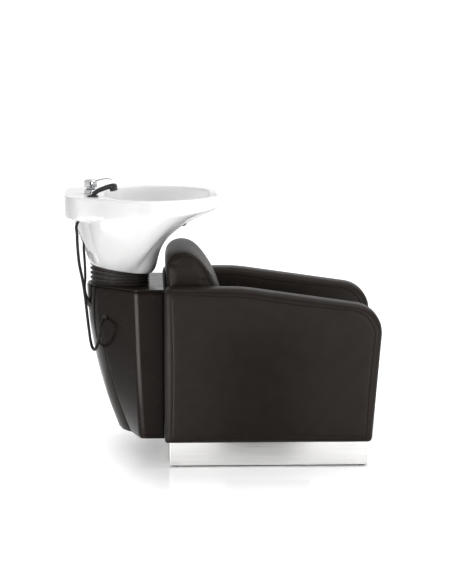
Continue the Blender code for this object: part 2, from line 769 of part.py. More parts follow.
def reach(curve, angle):
    """How far a plan curve lies from the rim's centre in a direction."""
    best = 0.0
    step = Vector((math.cos(angle), math.sin(angle), 0.0))
    for p, q in zip(curve, curve[1:]):
        a = p - Vector((RIM_CENTRE_X, 0, 0))
        b = q - Vector((RIM_CENTRE_X, 0, 0))
        ca = step.x * a.y - step.y * a.x
        cb = step.x * b.y - step.y * b.x
        if ca * cb <= 0.0 and ca != cb:
            hit = a.lerp(b, ca / (ca - cb))
            best = max(best, hit.dot(step))
    return best


def blended(angle, front, side, rear):
    """A value that changes from the basin's front to its sides and its rear."""
    turn = math.degrees(abs(math.atan2(math.sin(angle), math.cos(angle))))
    value = front + (side - front) * smoothstep(18.0, 95.0, turn)
    return value + (rear - side) * smoothstep(125.0, 165.0, turn)


def blended_rim(angle):
    """The rim's height: level round the bowl, a little higher at the rear deck."""
    turn = math.degrees(abs(math.atan2(math.sin(angle), math.cos(angle))))
    return RIM_Z + (DECK_Z - RIM_Z) * smoothstep(112.0, 145.0, turn)


def neck_dip(y, angle, depth):
    """How far the neck cradle dips below the rim."""
    if math.cos(angle) < 0.5:
        return 0.0
    return depth * (1.0 - smoothstep(0.25, 1.0, abs(y) / NECK_HALF_Y))


def skirt_sag(angle):
    """How far the deck's skirt hangs lower where it runs into the side of the bowl."""
    turn = math.degrees(abs(math.atan2(math.sin(angle), math.cos(angle))))
    return SKIRT_SAG * (smoothstep(112.0, 138.0, turn) - smoothstep(141.0, 160.0, turn))


def side_share(angle):
    """How far the skin has the full form of the sides: 0 at the front and the rear, 1 at the sides."""
    turn = math.degrees(abs(math.atan2(math.sin(angle), math.cos(angle))))
    return smoothstep(66.0, 96.0, turn) * (1.0 - smoothstep(125.0, 165.0, turn))


def basin_angles():
    """Directions round the basin, closer together at the deck's corners and the neck."""
    angles = []
    for k in range(BASIN_STEPS):
        t = 2.0 * math.pi * k / BASIN_STEPS
        angles.append(t - 0.16 * math.sin(2.0 * t))
    return angles


def basin_rings():
    """The basin's skin as rings: up the outside, over the rim, down the bowl, out of the drain."""
    rim = outline_curve(RIM_OUTLINE)
    body = outline_curve(BODY_OUTLINE)
    bowl = outline_curve(BOWL_OUTLINE)
    levels = (0.0, 0.06, 0.14, 0.24, 0.35, 0.46, 0.58, 0.70, 0.81, 0.91, 1.0)
    depths = (0.93, 0.83, 0.72, 0.60, 0.48, 0.36, 0.25, 0.15, 0.07, 0.02, 0.0)
    rings = [[] for _ in range(len(levels) + len(depths) + 12)]
    for angle in basin_angles():
        way = Vector((math.cos(angle), math.sin(angle), 0.0))
        centre = Vector((RIM_CENTRE_X, 0.0, 0.0))
        outer = centre + way * reach(rim, angle)
        inner = centre + way * reach(bowl, angle)
        level_top = blended_rim(angle)
        top = level_top - neck_dip(outer.y, angle, NECK_LIP_DIP)
        inner_top = level_top - neck_dip(inner.y * 1.1, angle, NECK_DIP)
        neck = level_top - neck_dip(outer.y, angle, NECK_DIP)
        band = min(blended(angle, LIP_FRONT_Z, LIP_SIDE_Z, DECK_SKIRT_Z + 0.010), neck - LIP_DEPTH)
        band -= skirt_sag(angle)
        under = centre + way * reach(body, angle)
        under.z = band - 0.009
        foot = foot_point(FOOT_RADIUS, angle, 0.0)
        power = blended(angle, 2.9, 0.65, 0.95)
        full = side_share(angle)
        bulge = blended(angle, 0.090, 0.035, 0.0)
        column = []
        for level in levels:
            swell = bulge * (1.0 - math.exp(-level / 0.07))
            rise = (1.0 - full) * level ** power + full * (1.0 - (1.0 - level) ** SIDE_FULLNESS)
            flat = foot.lerp(under, min(1.0, swell + (1.0 - bulge) * rise))
            column.append(Vector((flat.x, flat.y, foot.z + (under.z - foot.z) * level)))
        low_band = outer - way * 0.003
        column.append(Vector((low_band.x, low_band.y, band)))
        column.append(Vector((outer.x, outer.y, max(band + 0.004, top - 0.030))))
        column.append(Vector((outer.x, outer.y, top - RIM_ROUND)))
        for turn in (45.0, 90.0):
            edge = outer - way * (RIM_ROUND * (1.0 - math.cos(math.radians(turn))))
            column.append(Vector((edge.x, edge.y, top - RIM_ROUND * (1.0 - math.sin(math.radians(turn))))))
        for turn in (90.0, 45.0, 0.0):
            edge = inner + way * (RIM_ROUND * (1.0 - math.cos(math.radians(turn))))
            column.append(Vector((edge.x, edge.y,
                                  inner_top - RIM_ROUND * (1.0 - math.sin(math.radians(turn))))))
        seat = foot_point(DRAIN_SEAT_RADIUS, angle, FOOT_RECESS + FLOOR_THICK)
        start_z = inner_top - RIM_ROUND
        inside = blended(angle, 1.32, BOWL_FULLNESS, 0.26)
        well = blended(angle, 0.12, 0.0, 0.0)
        for depth in depths:
            swell = well * (1.0 - math.exp(-depth / 0.05))
            flat = seat.lerp(inner, swell + (1.0 - well) * depth ** inside)
            column.append(Vector((flat.x, flat.y, seat.z + (start_z - seat.z) * depth)))
        column.append(foot_point(DRAIN_RADIUS, angle, FOOT_RECESS + FLOOR_THICK))
        column.append(foot_point(DRAIN_RADIUS, angle, FOOT_RECESS))
        column.append(foot_point(FOOT_INNER_RADIUS - 0.004, angle, FOOT_RECESS))
        column.append(foot_point(FOOT_INNER_RADIUS, angle, 0.0))
        for ring, point in zip(rings, column):
            ring.append(point)
    return rings


def rear_hollow_rings():
    """The hollow between the bowl's rear wall and the outer skin, open to the deck's pocket."""
    rings = []
    for z, rear_x, front_x, half_y in ((HOLLOW_LOW_Z, -0.462, -0.436, 0.042),
                                       (DECK_SKIRT_Z + 0.005, -0.508, POCKET_FRONT_X + 0.004, 0.066)):
        rings.append([(rear_x, -half_y, z), (front_x, -half_y, z), (front_x, half_y, z),
                      (rear_x, half_y, z)])
    return rings


def shower_axis():
    return Vector((math.cos(SHOWER_LEAN), 0.0, math.sin(SHOWER_LEAN)))


def shower_mouth():
    return Vector((SHOWER_X, SHOWER_Y, DECK_Z))


def build_basin(tilt):
    basin = place("basin", loft("basin", basin_rings(), wrap=True), CERAMIC, smooth=True, parent=tilt)
    channel = box_mesh("channel", (POCKET_REAR_X - 0.002, CHANNEL_LOW_Y, 0.61),
                       (CHANNEL_FRONT_X, CHANNEL_HIGH_Y, DECK_Z - DECK_THICK - 0.004))
    combine(basin, cutter("channel", channel))
    pocket = box_mesh("pocket", (POCKET_REAR_X, -POCKET_HALF_Y, DECK_SKIRT_Z - 0.002),
                      (POCKET_FRONT_X, POCKET_HALF_Y, DECK_Z - DECK_THICK))
    combine(basin, cutter("pocket", pocket))
    combine(basin, cutter("rear_hollow", loft("rear_hollow", rear_hollow_rings())))
    combine(basin, cutter("mixer_hole", rod_mesh(
        "mixer_hole", (MIXER_X, MIXER_Y, DECK_Z - 0.04), (MIXER_X, MIXER_Y, DECK_Z + 0.02),
        SHANK_RADIUS + 0.002)))
    mouth = shower_mouth()
    axis = shower_axis()
    combine(basin, cutter("shower_hole", rod_mesh(
        "shower_hole", mouth - axis * 0.14, mouth + axis * 0.03, HOSE_RADIUS + 0.003)))
    return basin


def build_bumper(tilt):
    """A rubber bumper on the underside, which meets the backrest if the basin drops forward."""
    rings = basin_rings()
    front = min(range(BASIN_STEPS), key=lambda i: abs(rings[0][i].y) - rings[0][i].x)
    low = rings[7][front]
    high = rings[8][front]
    along = (high - low).normalized()
    out = Vector((along.z, 0.0, -along.x))
    point = low.lerp(high, 0.55) + out * 0.0005
    profile = ((0.0, 0.006), (0.006, 0.0052), (0.009, 0.003), (0.0100, 0.0), (0.0, 0.0))
    turned("basin_bumper", profile, 20, RUBBER, point, out, tilt)


def build_tilt(tilt):
    """The fixed bracket, the yoke under the bowl and the two hinge pins."""
    low = SUPPORT_TOP_Z + FIT
    half = BRACKET_LENGTH / 2
    base = low + BRACKET_BASE
    outline = rounded(((TILT_X - half, low, 0.0), (TILT_X + half, low, 0.0), (TILT_X + half, base, 0.0),
                       (TILT_X + EAR_RADIUS, TILT_Z + EAR_RADIUS, EAR_RADIUS),
                       (TILT_X - EAR_RADIUS, TILT_Z + EAR_RADIUS, EAR_RADIUS),
                       (TILT_X - half, base, 0.0)))
    bracket = place("tilt_bracket", extruded("tilt_bracket", outline, -EAR_OUTER_Y, EAR_OUTER_Y),
                    BLACK_PAINT)
    gap = EAR_OUTER_Y - EAR_THICK
    combine(bracket, cutter("ear_gap", box_mesh("ear_gap", (TILT_X - 0.1, -gap, base),
                                                (TILT_X + 0.1, gap, TILT_Z + 0.1))))
    combine(bracket, cutter("bracket_bore", rod_mesh(
        "bracket_bore", (TILT_X, 0, low - 0.05), (TILT_X, 0, low + 0.05), WASTE_PASSAGE_RADIUS)))
    pin_hole = cutter("pin_hole", rod_mesh("pin_hole", (TILT_X, -0.1, TILT_Z), (TILT_X, 0.1, TILT_Z),
                                           PIN_RADIUS + FIT))
    combine(bracket, pin_hole)

    top = FOOT_HEIGHT + FOOT_RECESS - FIT
    lug_outer = gap - RUN
    lug_inner = lug_outer - EAR_THICK
    flat = top - YOKE_THICK
    side = rounded(((-YOKE_LENGTH / 2, top, 0.0), (-YOKE_LENGTH / 2, flat, 0.0),
                    (-EAR_RADIUS * 1.4, flat, 0.0), (-EAR_RADIUS, -EAR_RADIUS, EAR_RADIUS * 0.9),
                    (EAR_RADIUS, -EAR_RADIUS, EAR_RADIUS * 0.9), (EAR_RADIUS * 1.4, flat, 0.0),
                    (YOKE_LENGTH / 2, flat, 0.0), (YOKE_LENGTH / 2, top, 0.0)), 5)
    mesh = extruded("tilt_yoke", side, -lug_outer, lug_outer)
    mesh.transform(foot_frame())
    yoke = place("tilt_yoke", mesh, BLACK_PAINT, parent=tilt)
    slot = box_mesh("yoke_gap", (-0.1, -lug_inner, -0.1), (0.1, lug_inner, flat + RUN))
    slot.transform(foot_frame())
    combine(yoke, cutter("yoke_gap", slot))
    bore = rod_mesh("yoke_bore", (0, 0, flat - 0.05), (0, 0, top + 0.05), 0.030)
    bore.transform(foot_frame())
    combine(yoke, cutter("yoke_bore", bore))
    combine(yoke, pin_hole)
    for name, sign in (("right", -1.0), ("left", 1.0)):
        inner_y = lug_inner - 0.003
        start = Vector((TILT_X, sign * inner_y, TILT_Z))
        length = EAR_OUTER_Y + PIN_HEAD - inner_y
        head = length - PIN_HEAD + FIT
        profile = ((0.0, length), (PIN_RADIUS + 0.003, length), (PIN_RADIUS + 0.003, head),
                   (PIN_RADIUS, head), (PIN_RADIUS, 0.0), (0.0, 0.0))
        turned("hinge_pin_" + name, profile, 20, STEEL, start, Vector((0.0, sign, 0.0)))


def build_collar():
    """The rubber bellows between the console top and the pitched foot of the basin."""
    low = CONSOLE_TOP_Z + FIT
    rows = COLLAR_RIBS * 4
    sections = []
    for row in range(rows + 1):
        rib = COLLAR_RIB * math.cos(2.0 * math.pi * COLLAR_RIBS * row / rows)
        sections.append((COLLAR_RADIUS + rib, row / rows))
    inner = COLLAR_RADIUS - COLLAR_RIB - COLLAR_WALL
    sections += [(inner, 1.0), (inner, 0.0)]
    rings = []
    for radius, t in sections:
        circle = []
        for k in range(COLLAR_STEPS):
            angle = 2.0 * math.pi * k / COLLAR_STEPS
            x = FOOT_X + radius * math.cos(angle)
            foot = FOOT_Z - 2 * FIT - math.tan(FOOT_PITCH) * (x - FOOT_X)
            circle.append(Vector((x, radius * math.sin(angle), low + (foot - low) * t)))
        rings.append(circle)
    mesh = loft("bellows_collar", rings, wrap=True)
    place("bellows_collar", in_triangles(mesh), RUBBER, smooth=True)


def build_waste(tilt):
    """The drain: body with its tail through the yoke, nut under the bowl, strainer over it."""
    frame = foot_frame()
    up = (frame.to_3x3() @ Vector((0, 0, 1))).normalized()
    base = FOOT_HEIGHT + FOOT_RECESS
    floor = base + FLOOR_THICK
    seat = floor + FIT
    bore = DRAIN_RADIUS - 0.001
    profile = ((TAIL_RADIUS, seat + 0.002), (WASTE_FLANGE_RADIUS, seat + 0.002),
               (WASTE_FLANGE_RADIUS, seat), (bore, seat), (bore, base - YOKE_THICK - 0.012),
               (TAIL_RADIUS + 0.002, base - YOKE_THICK - 0.014), (TAIL_RADIUS + 0.002, WASTE_TAIL_END),
               (TAIL_RADIUS, WASTE_TAIL_END))
    origin = frame @ Vector((0, 0, 0))
    turned("waste_body", profile, 24, CHROME, origin, up, tilt, closed=True)
    nut_low = base - YOKE_THICK - 0.010
    nut = ((bore + RUN, base - YOKE_THICK - FIT), (0.0285, base - YOKE_THICK - FIT), (0.0285, nut_low),
           (bore + RUN, nut_low))
    turned("waste_nut", nut, 24, GREY_PLASTIC, origin, up, tilt, closed=True)
    dome = seat + 0.002 + FIT
    turned("hair_strainer", ((0.0, dome + 0.006), (0.012, dome + 0.0054), (0.020, dome + 0.003),
                             (0.0245, dome), (0.0, dome)), 32, CHROME, origin, up, tilt)


def waste_route():
    """The waste hose, from under the basin's tail down to the console's floor."""
    end = foot_frame() @ Vector((0, 0, WASTE_TAIL_END - FIT))
    down = (foot_frame().to_3x3() @ Vector((0, 0, -1))).normalized()
    floor = PLINTH_TOP_Z + FIT
    return smooth_path((end, end + down * 0.030, end + down * 0.060, (-0.366, 0, 0.48), (-0.338, 0, 0.36),
                        (-0.310, 0, 0.24), (-0.297, 0, 0.16), (-0.295, 0, floor + 0.001)), 18)


# Mixer and hand shower

def build_mixer(tilt, swivel, lift):
    deck = DECK_Z + FIT
    axis = Vector((MIXER_X, MIXER_Y, 0.0))
    ring = ((SHANK_RADIUS + 0.003, deck + MIXER_RING), (MIXER_RADIUS + 0.0015, deck + MIXER_RING),
            (MIXER_RADIUS + 0.0025, deck), (SHANK_RADIUS + 0.003, deck))
    turned("mixer_ring", ring, 28, CHROME, axis, parent=tilt, closed=True)
    foot = deck + MIXER_RING + FIT
    neck = MIXER_BALL_RADIUS * 0.80
    body = ((0.0, MIXER_SHOULDER_Z + 0.004), (neck, MIXER_SHOULDER_Z + 0.004),
            (MIXER_RADIUS - 0.003, MIXER_SHOULDER_Z + 0.001), (MIXER_RADIUS, MIXER_SHOULDER_Z - 0.003),
            (MIXER_RADIUS, foot), (SHANK_RADIUS, foot), (SHANK_RADIUS, SHANK_END_Z), (0.0, SHANK_END_Z))
    turned("mixer_body", body, 28, CHROME, axis, parent=tilt)
    under = DECK_Z - DECK_THICK - FIT
    nut = ((SHANK_RADIUS + FIT, under), (SHANK_NUT_RADIUS, under), (SHANK_NUT_RADIUS, under - 0.008),
           (SHANK_RADIUS + FIT, under - 0.008))
    turned("mixer_nut", nut, 24, GREY_PLASTIC, axis, parent=tilt, closed=True)

    ball = []
    low_angle = math.asin((MIXER_SHOULDER_Z + 0.004 + FIT - MIXER_BALL_Z) / MIXER_BALL_RADIUS)
    for k in range(9):
        angle = math.pi / 2 + (low_angle - math.pi / 2) * k / 8
        ball.append((MIXER_BALL_RADIUS * math.cos(angle),
                     MIXER_BALL_Z + MIXER_BALL_RADIUS * math.sin(angle)))
    ball[0] = (0.0, MIXER_BALL_Z + MIXER_BALL_RADIUS)
    ball.append((0.0, ball[-1][1]))
    turned("mixer_cartridge", ball, 24, CHROME, axis, parent=swivel)

    hollow = MIXER_BALL_RADIUS + RUN
    cap = [(0.0, MIXER_CAP_Z), (MIXER_RADIUS - 0.007, MIXER_CAP_Z - 0.0006),
           (MIXER_RADIUS - 0.002, MIXER_CAP_Z - 0.003), (MIXER_RADIUS, MIXER_CAP_Z - 0.008),
           (MIXER_RADIUS, MIXER_BALL_Z - 0.0005), (MIXER_RADIUS - 0.002, MIXER_BALL_Z - 0.0015)]
    for k in range(7):
        angle = math.pi / 2 * k / 6
        cap.append((hollow * math.cos(angle), MIXER_BALL_Z + hollow * math.sin(angle)))
    cap[-1] = (0.0, MIXER_BALL_Z + hollow)
    handle = turned("mixer_handle", cap, 28, CHROME, axis, parent=lift)
    reach_x = LEVER_TIP_X - MIXER_X
    root_z = MIXER_CAP_Z - 0.007
    route = smooth_path(((MIXER_RADIUS - 0.006, 0, root_z), (reach_x * 0.48, 0, root_z + 0.0065),
                         (reach_x * 0.75, 0, root_z + 0.0085), (reach_x, 0, root_z + 0.0055)), 12)
    lever = tube("lever_rod", [p + axis for p in route], LEVER_RADIUS, CHROME, 3)
    combine(handle, cutter("lever_rod", curve_mesh(lever)), "UNION")


def handset_route():
    """The handset's own middle line: out of the deck gland, then bent forward over the bowl."""
    mouth = shower_mouth()
    axis = shower_axis()
    return smooth_path((mouth + axis * -0.002, mouth + axis * 0.010, mouth + Vector((0.016, 0, 0.0185)),
                        mouth + Vector((0.034, 0, 0.0265)), mouth + Vector((0.056, 0, 0.0345)),
                        mouth + Vector((0.074, 0, 0.0375)), mouth + Vector((0.088, 0, 0.0345))), 18)


def build_shower(tilt, slide):
    mouth = shower_mouth()
    axis = shower_axis()
    bore = SHOWER_NECK_RADIUS + RUN + 0.004
    ring = ((bore, DECK_RING), (DECK_RING_RADIUS, DECK_RING), (DECK_RING_RADIUS + 0.001, 0.0), (bore, 0.0))
    turned("shower_deck_ring", ring, 24, BLACK_PLASTIC, mouth + Vector((0.001, 0.0, FIT)), parent=tilt,
           closed=True)

    route = handset_route()
    radii = []
    for k in range(len(route)):
        t = k / (len(route) - 1)
        radii.append(0.92 + 0.14 * smoothstep(0.15, 0.7, t) + 0.20 * smoothstep(0.72, 0.95, t))
    grip = tube("grip", route, SHOWER_NECK_RADIUS, BLACK_PLASTIC, 4, radii)
    handset = place("handset", curve_mesh(grip), BLACK_PLASTIC, smooth=True, parent=slide)
    tail_low = mouth - axis * TAIL_LENGTH
    tail = rod_mesh("tail_rod", tail_low, mouth + axis * 0.004, HOSE_RADIUS, 16)
    combine(handset, cutter("tail_rod", tail), "UNION")
    face_way = Vector((0.20, 0.0, -1.0)).normalized()
    head = mouth + Vector((0.0745, 0, 0.0345))
    block = rod_mesh("head_block", head, head + face_way * HEAD_DEPTH, HEAD_RADIUS, 24)
    combine(handset, cutter("head_block", block), "UNION")
    spray = head + face_way * (HEAD_DEPTH + FIT)
    profile = ((0.0, 0.0025), (HEAD_RADIUS - 0.002, 0.0025), (HEAD_RADIUS - 0.001, 0.0), (0.0, 0.0))
    turned("spray_face", profile, 24, GREY_PLASTIC, spray, face_way, slide)


def shower_hose_route():
    """The shower hose: from the deck down behind the console, and up into its gland."""
    start = shower_mouth() - shower_axis() * (TAIL_LENGTH + FIT)
    down = -shower_axis()
    gland = hose_gland_point()
    out = hose_gland_axis()
    end = gland + out * (GLAND_OUTSIDE + FIT)
    return smooth_path((start, start + down * 0.010, start + down * 0.020, (-0.5145, -0.139, 0.822),
                        (-0.5130, -0.124, 0.771),
                        (-0.5075, -0.106, 0.707), (-0.4965, -0.086, 0.646), (-0.4890, -0.069, 0.590),
                        (-0.4825, -0.057, 0.525), (-0.4755, -0.050, 0.460), (-0.4695, -0.053, 0.417),
                        (-0.4605, -0.082, 0.393), (-0.4500, -0.116, 0.402), (-0.4400, -0.143, 0.434),
                        end + out * 0.032, end + out * 0.016, end), 48)


def supply_hose_route(y_start, y_end):
    """A supply hose: from the mixer's shank down the basin's channel and into the console."""
    start = Vector((MIXER_X - 0.005, MIXER_Y + y_start, SHANK_END_Z - FIT))
    axis = supply_gland_axis()
    end = supply_gland_point(y_end) + axis * (GLAND_OUTSIDE + FIT)
    down = Vector((0, 0, -1))
    return smooth_path((start, start + down * 0.016, start + down * 0.030, (-0.4835, -0.044 + y_start, 0.846),
                        (-0.4925, y_end, 0.765), (-0.4890, y_end, 0.700), (-0.4880, y_end, 0.645),
                        end + axis * 0.034, end + axis * 0.016, end), 27)


def build_hoses():
    tube("shower_hose", shower_hose_route(), HOSE_RADIUS, RUBBER, 2)
    for name, sign in (("hot", 1.0), ("cold", -1.0)):
        route = supply_hose_route(sign * SUPPLY_STEP / 2, SUPPLY_GLAND_Y + sign * SUPPLY_GLAND_STEP / 2)
        tube(name + "_supply_hose", route, SUPPLY_RADIUS, RUBBER, 2)
    tube("waste_hose", waste_route(), WASTE_HOSE_RADIUS, RUBBER, 3)


tilt_axis = axis_empty("basin_tilt_axis", (TILT_X, 0.0, TILT_Z))
swivel_axis = axis_empty("mixer_swivel_axis", (MIXER_X, MIXER_Y, MIXER_BALL_Z), tilt_axis)
lift_axis = axis_empty("mixer_lift_axis", (MIXER_X, MIXER_Y, MIXER_BALL_Z), swivel_axis)
shower_line = axis_empty("shower_axis", shower_mouth(), tilt_axis)

build_plinth()
build_boards()
build_arms()
build_cushions()
build_console()
build_frame()
build_basin(tilt_axis)
build_bumper(tilt_axis)
build_tilt(tilt_axis)
build_collar()
build_waste(tilt_axis)
build_mixer(tilt_axis, swivel_axis, lift_axis)
build_shower(tilt_axis, shower_line)
build_hoses()

for piece in list(unit.objects) + list(cutters.objects):
    if piece.parent is None:
        piece.location.x += ORIGIN_SHIFT_X
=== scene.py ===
"""Looks of the salon backwash unit: upholstery, glazed basin, console, taps, hoses and the studio."""
import math

import bmesh
import bpy
import numpy as np
from mathutils import Matrix, Vector
from mathutils.bvhtree import BVHTree
from mathutils.kdtree import KDTree


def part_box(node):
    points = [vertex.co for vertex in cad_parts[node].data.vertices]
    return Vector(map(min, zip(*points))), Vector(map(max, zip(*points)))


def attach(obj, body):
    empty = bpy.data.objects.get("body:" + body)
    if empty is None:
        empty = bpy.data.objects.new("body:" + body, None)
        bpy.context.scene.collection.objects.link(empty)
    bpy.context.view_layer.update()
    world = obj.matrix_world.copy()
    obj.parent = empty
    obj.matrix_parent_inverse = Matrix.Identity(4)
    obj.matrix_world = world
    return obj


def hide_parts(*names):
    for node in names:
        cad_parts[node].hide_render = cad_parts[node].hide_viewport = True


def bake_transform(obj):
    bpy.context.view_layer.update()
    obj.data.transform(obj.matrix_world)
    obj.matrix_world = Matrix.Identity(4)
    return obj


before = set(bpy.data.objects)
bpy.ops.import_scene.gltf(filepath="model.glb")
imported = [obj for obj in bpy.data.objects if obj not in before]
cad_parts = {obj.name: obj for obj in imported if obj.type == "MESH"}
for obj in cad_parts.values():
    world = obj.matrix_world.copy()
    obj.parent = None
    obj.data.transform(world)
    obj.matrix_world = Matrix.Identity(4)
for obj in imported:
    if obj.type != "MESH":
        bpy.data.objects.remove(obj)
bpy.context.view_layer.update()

CHAIR = "chair_and_console"
BASIN = "tilting_basin"
LEVER = "mixer_lever"
SHOWER = "hand_shower"

# The arms' datum, from which the solids were drawn, lies this far behind the origin
SHIFT = -0.005
UP = Vector((0.0, 0.0, 1.0))
MERGE_DISTANCE = 0.000002
SIDES = (("right", -1.0), ("left", 1.0))

# Armrests, with the side view's corners as (x, z, radius)
ARM_OUTER_Y = 0.330
ARM_THICK = 0.105
ARM_REAR_X = -0.203 + SHIFT
ARM_FOOT_Z = 0.0888
ARM_TOP_Z = 0.6465
ARM_CORNERS = ((ARM_REAR_X, ARM_FOOT_Z, 0.006), (ARM_REAR_X, ARM_TOP_Z, 0.020),
               (0.070 + SHIFT, ARM_TOP_Z, 0.60), (0.5805 + SHIFT, 0.573, 0.105),
               (0.5385 + SHIFT, ARM_FOOT_Z, 0.016))
ARM_MIDDLE = Vector((0.165, 0.345))
ARM_ROUND = 0.026
ARM_CROWN = 0.0022

# Front apron
APRON_SIDE_GAP = 0.0006
APRON_TOP_GAP = 0.0004
APRON_ROUND = 0.006
APRON_FOOT_ROUND = 0.004
APRON_CROWN = 0.0016

# Sewn panels: the gusset as (inset, share of half the thickness), the seam as (inset past the edge, depth)
# and the crown inside it as (inset past the edge, share of its height)
GUSSET_MIDDLE = -0.0008
GUSSET_SIDE = (-0.0006, 0.35)
EDGE_TURNS = (18.0, 36.0, 54.0, 72.0, 88.0)
SEAM_GROOVE = ((0.0022, 0.0003), (0.0034, 0.0016), (0.0046, 0.0003))
CROWN_RISE = ((0.0080, 0.25), (0.0160, 0.60), (0.0300, 0.90))
CROWN_SHARES = (0.25, 0.55, 0.85)

# Stitches, each a thread drawn to a point as (place along its length, share of its radius)
STITCH_LENGTH = 0.0042
STITCH_PITCH = 0.0066
STITCH_INSET = 0.0085
STITCH_LIFT = 0.0004
STITCH_FORM = ((-0.5, 0.35), (-0.3, 1.0), (0.3, 1.0), (0.5, 0.35))
THREAD_RADIUS = 0.00045
THREAD_SIDES = 5

# Cushions
SWELL_FRAMES = 20
BACK_MIDDLE_X = -0.105
BACK_MIDDLE_Z = 0.60
WELT_SIDES = 8

# Console
CONSOLE_FOOT_Z = 0.0885
CONSOLE_TOP_Z = 0.630
CONSOLE_HALF_Y = 0.225
CONSOLE_CORNER_X = -0.288 + SHIFT
CONSOLE_CORNER_ROUND = 0.028
CONSOLE_GAP = 0.0003
NOSE_FOOT_X = -0.360 + SHIFT
NOSE_HALF_Y = 0.100
NOSE_HOLLOW = 0.040
COVER_GAP = 0.0012
COVER_COLUMNS = 48
PANEL_LOW_Z = CONSOLE_FOOT_Z + 0.0089
PANEL_HIGH_Z = CONSOLE_TOP_Z - 0.0083
PANEL_ROWS = 40
PANEL_THICK = 0.004
PANEL_EDGE = 0.0009
PANEL_SHARP = 40.0
GLAND_ROOM = 0.0037
SHOWER_GLAND_DROP = math.radians(35.0)
SUPPLY_GLAND_LEAN = math.radians(25.0)
SIDE_SCREW_Z = 0.165
COVER_SCREW_Z = (0.215, 0.400, 0.580)
COVER_SCREW_INSET = 0.010
SCREW_HEAD = ((0.0, 0.0016), (0.0012, 0.0016), (0.0013, 0.0009), (0.0018, 0.0009),
              (0.0028, 0.0013), (0.0040, 0.0002), (0.0040, -0.0012), (0.0, -0.0012))

# Basin
FOOT_X = -0.362 + SHIFT
FOOT_Z = 0.6815
FOOT_PITCH = math.radians(9.1)
FOOT_RADIUS = 0.113
TILT_Z = 0.652
FOOT_FRAME = Matrix.Translation((FOOT_X, 0.0, TILT_Z)) @ Matrix.Rotation(FOOT_PITCH, 4, "Y")
FOOT_HEIGHT = (FOOT_Z - TILT_Z) * math.cos(FOOT_PITCH)
RIM_Z = 0.954
DECK_Z = 0.958
RIM_CENTRE = Vector((-0.250 + SHIFT, 0.0, 0.0))
RIM_ROUND = 0.007
RIM_TURNS = (0.0, 30.0, 60.0, 90.0)
NECK_DEPTH = 0.032
NECK_RIM_DEPTH = 0.014
NECK_HALF_Y = 0.105
SKIRT_SAG = 0.020
SIDE_FULLNESS = 1.8
BASIN_COLUMNS = 104
COLUMN_CROWDING = 0.16

# Half plans of the rim, of the body under it and of the bowl, from the rear round to the front
RIM_PLAN = ((-0.562, 0.0), (-0.561, 0.085), (-0.553, 0.142), (-0.524, 0.184), (-0.470, 0.204),
            (-0.380, 0.246), (-0.270, 0.275), (-0.160, 0.259), (-0.070, 0.208), (-0.012, 0.134),
            (0.0, 0.064), (0.0, 0.0))
BODY_PLAN = ((-0.533, 0.0), (-0.530, 0.058), (-0.518, 0.098), (-0.490, 0.134), (-0.462, 0.186),
             (-0.412, 0.228), (-0.350, 0.254), (-0.270, 0.270), (-0.160, 0.253), (-0.075, 0.200),
             (-0.022, 0.126), (-0.011, 0.059), (-0.011, 0.0))
BOWL_PLAN = ((-0.418, 0.0), (-0.418, 0.085), (-0.402, 0.154), (-0.350, 0.221), (-0.270, 0.250),
             (-0.165, 0.235), (-0.085, 0.185), (-0.042, 0.117), (-0.032, 0.054), (-0.032, 0.0))

# Where the skin has its rings: shares of the height outside and of the depth inside
SKIRT_LEVELS = (0.0, 0.015, 0.05, 0.10, 0.16, 0.23, 0.31, 0.39, 0.47, 0.55, 0.63, 0.71,
                0.79, 0.86, 0.92, 0.97, 1.0)
BOWL_DEPTHS = (0.95, 0.88, 0.79, 0.70, 0.61, 0.52, 0.43, 0.34, 0.26, 0.19, 0.13, 0.08,
               0.045, 0.02, 0.005, 0.0)
# The drain's and the foot's rings, as (radius, height over the foot)
DRAIN_AND_FOOT = ((0.0245, 0.0318), (0.0235, 0.0300), (0.0235, 0.0185), (0.0245, 0.0180),
                  (0.0915, 0.0180), (0.0935, 0.0160), (0.0968, 0.0015), (0.0985, 0.0))
# Cuts under the deck: two blocks by their corners, and a hollow as (height, rear, front, half width)
SUPPLY_CHANNEL = ((-0.549 + SHIFT, -0.0686, 0.61), (-0.472 + SHIFT, -0.0036, 0.934))
DECK_POCKET = ((-0.547 + SHIFT, -0.079, 0.868), (-0.446 + SHIFT, 0.079, 0.938))
DECK_HOLLOW = ((0.735, -0.462, -0.436, 0.042), (0.875, -0.508, -0.442, 0.066))

# Stretches of the basin's plan over which a form comes or goes, in degrees from its front
FRONT_TO_SIDE = (18.0, 95.0)
SIDE_TO_REAR = (125.0, 165.0)
SIDE_FILLS = (56.0, 104.0)
DECK_RISES = (112.0, 145.0)
SAG_COMES = (112.0, 138.0)
SAG_GOES = (141.0, 160.0)
FLUSH_COMES = (22.0, 50.0)
FLUSH_GOES = (124.0, 143.0)

# Bellows
COLLAR_LOW_Z = CONSOLE_TOP_Z + 0.0003
COLLAR_FOOT_GAP = 0.0006
COLLAR_RADIUS = 0.104
COLLAR_BORE = 0.0965
COLLAR_WAVE = 0.0045
COLLAR_RIBS = 4
COLLAR_ROWS = COLLAR_RIBS * 10
COLLAR_SIDES = 112

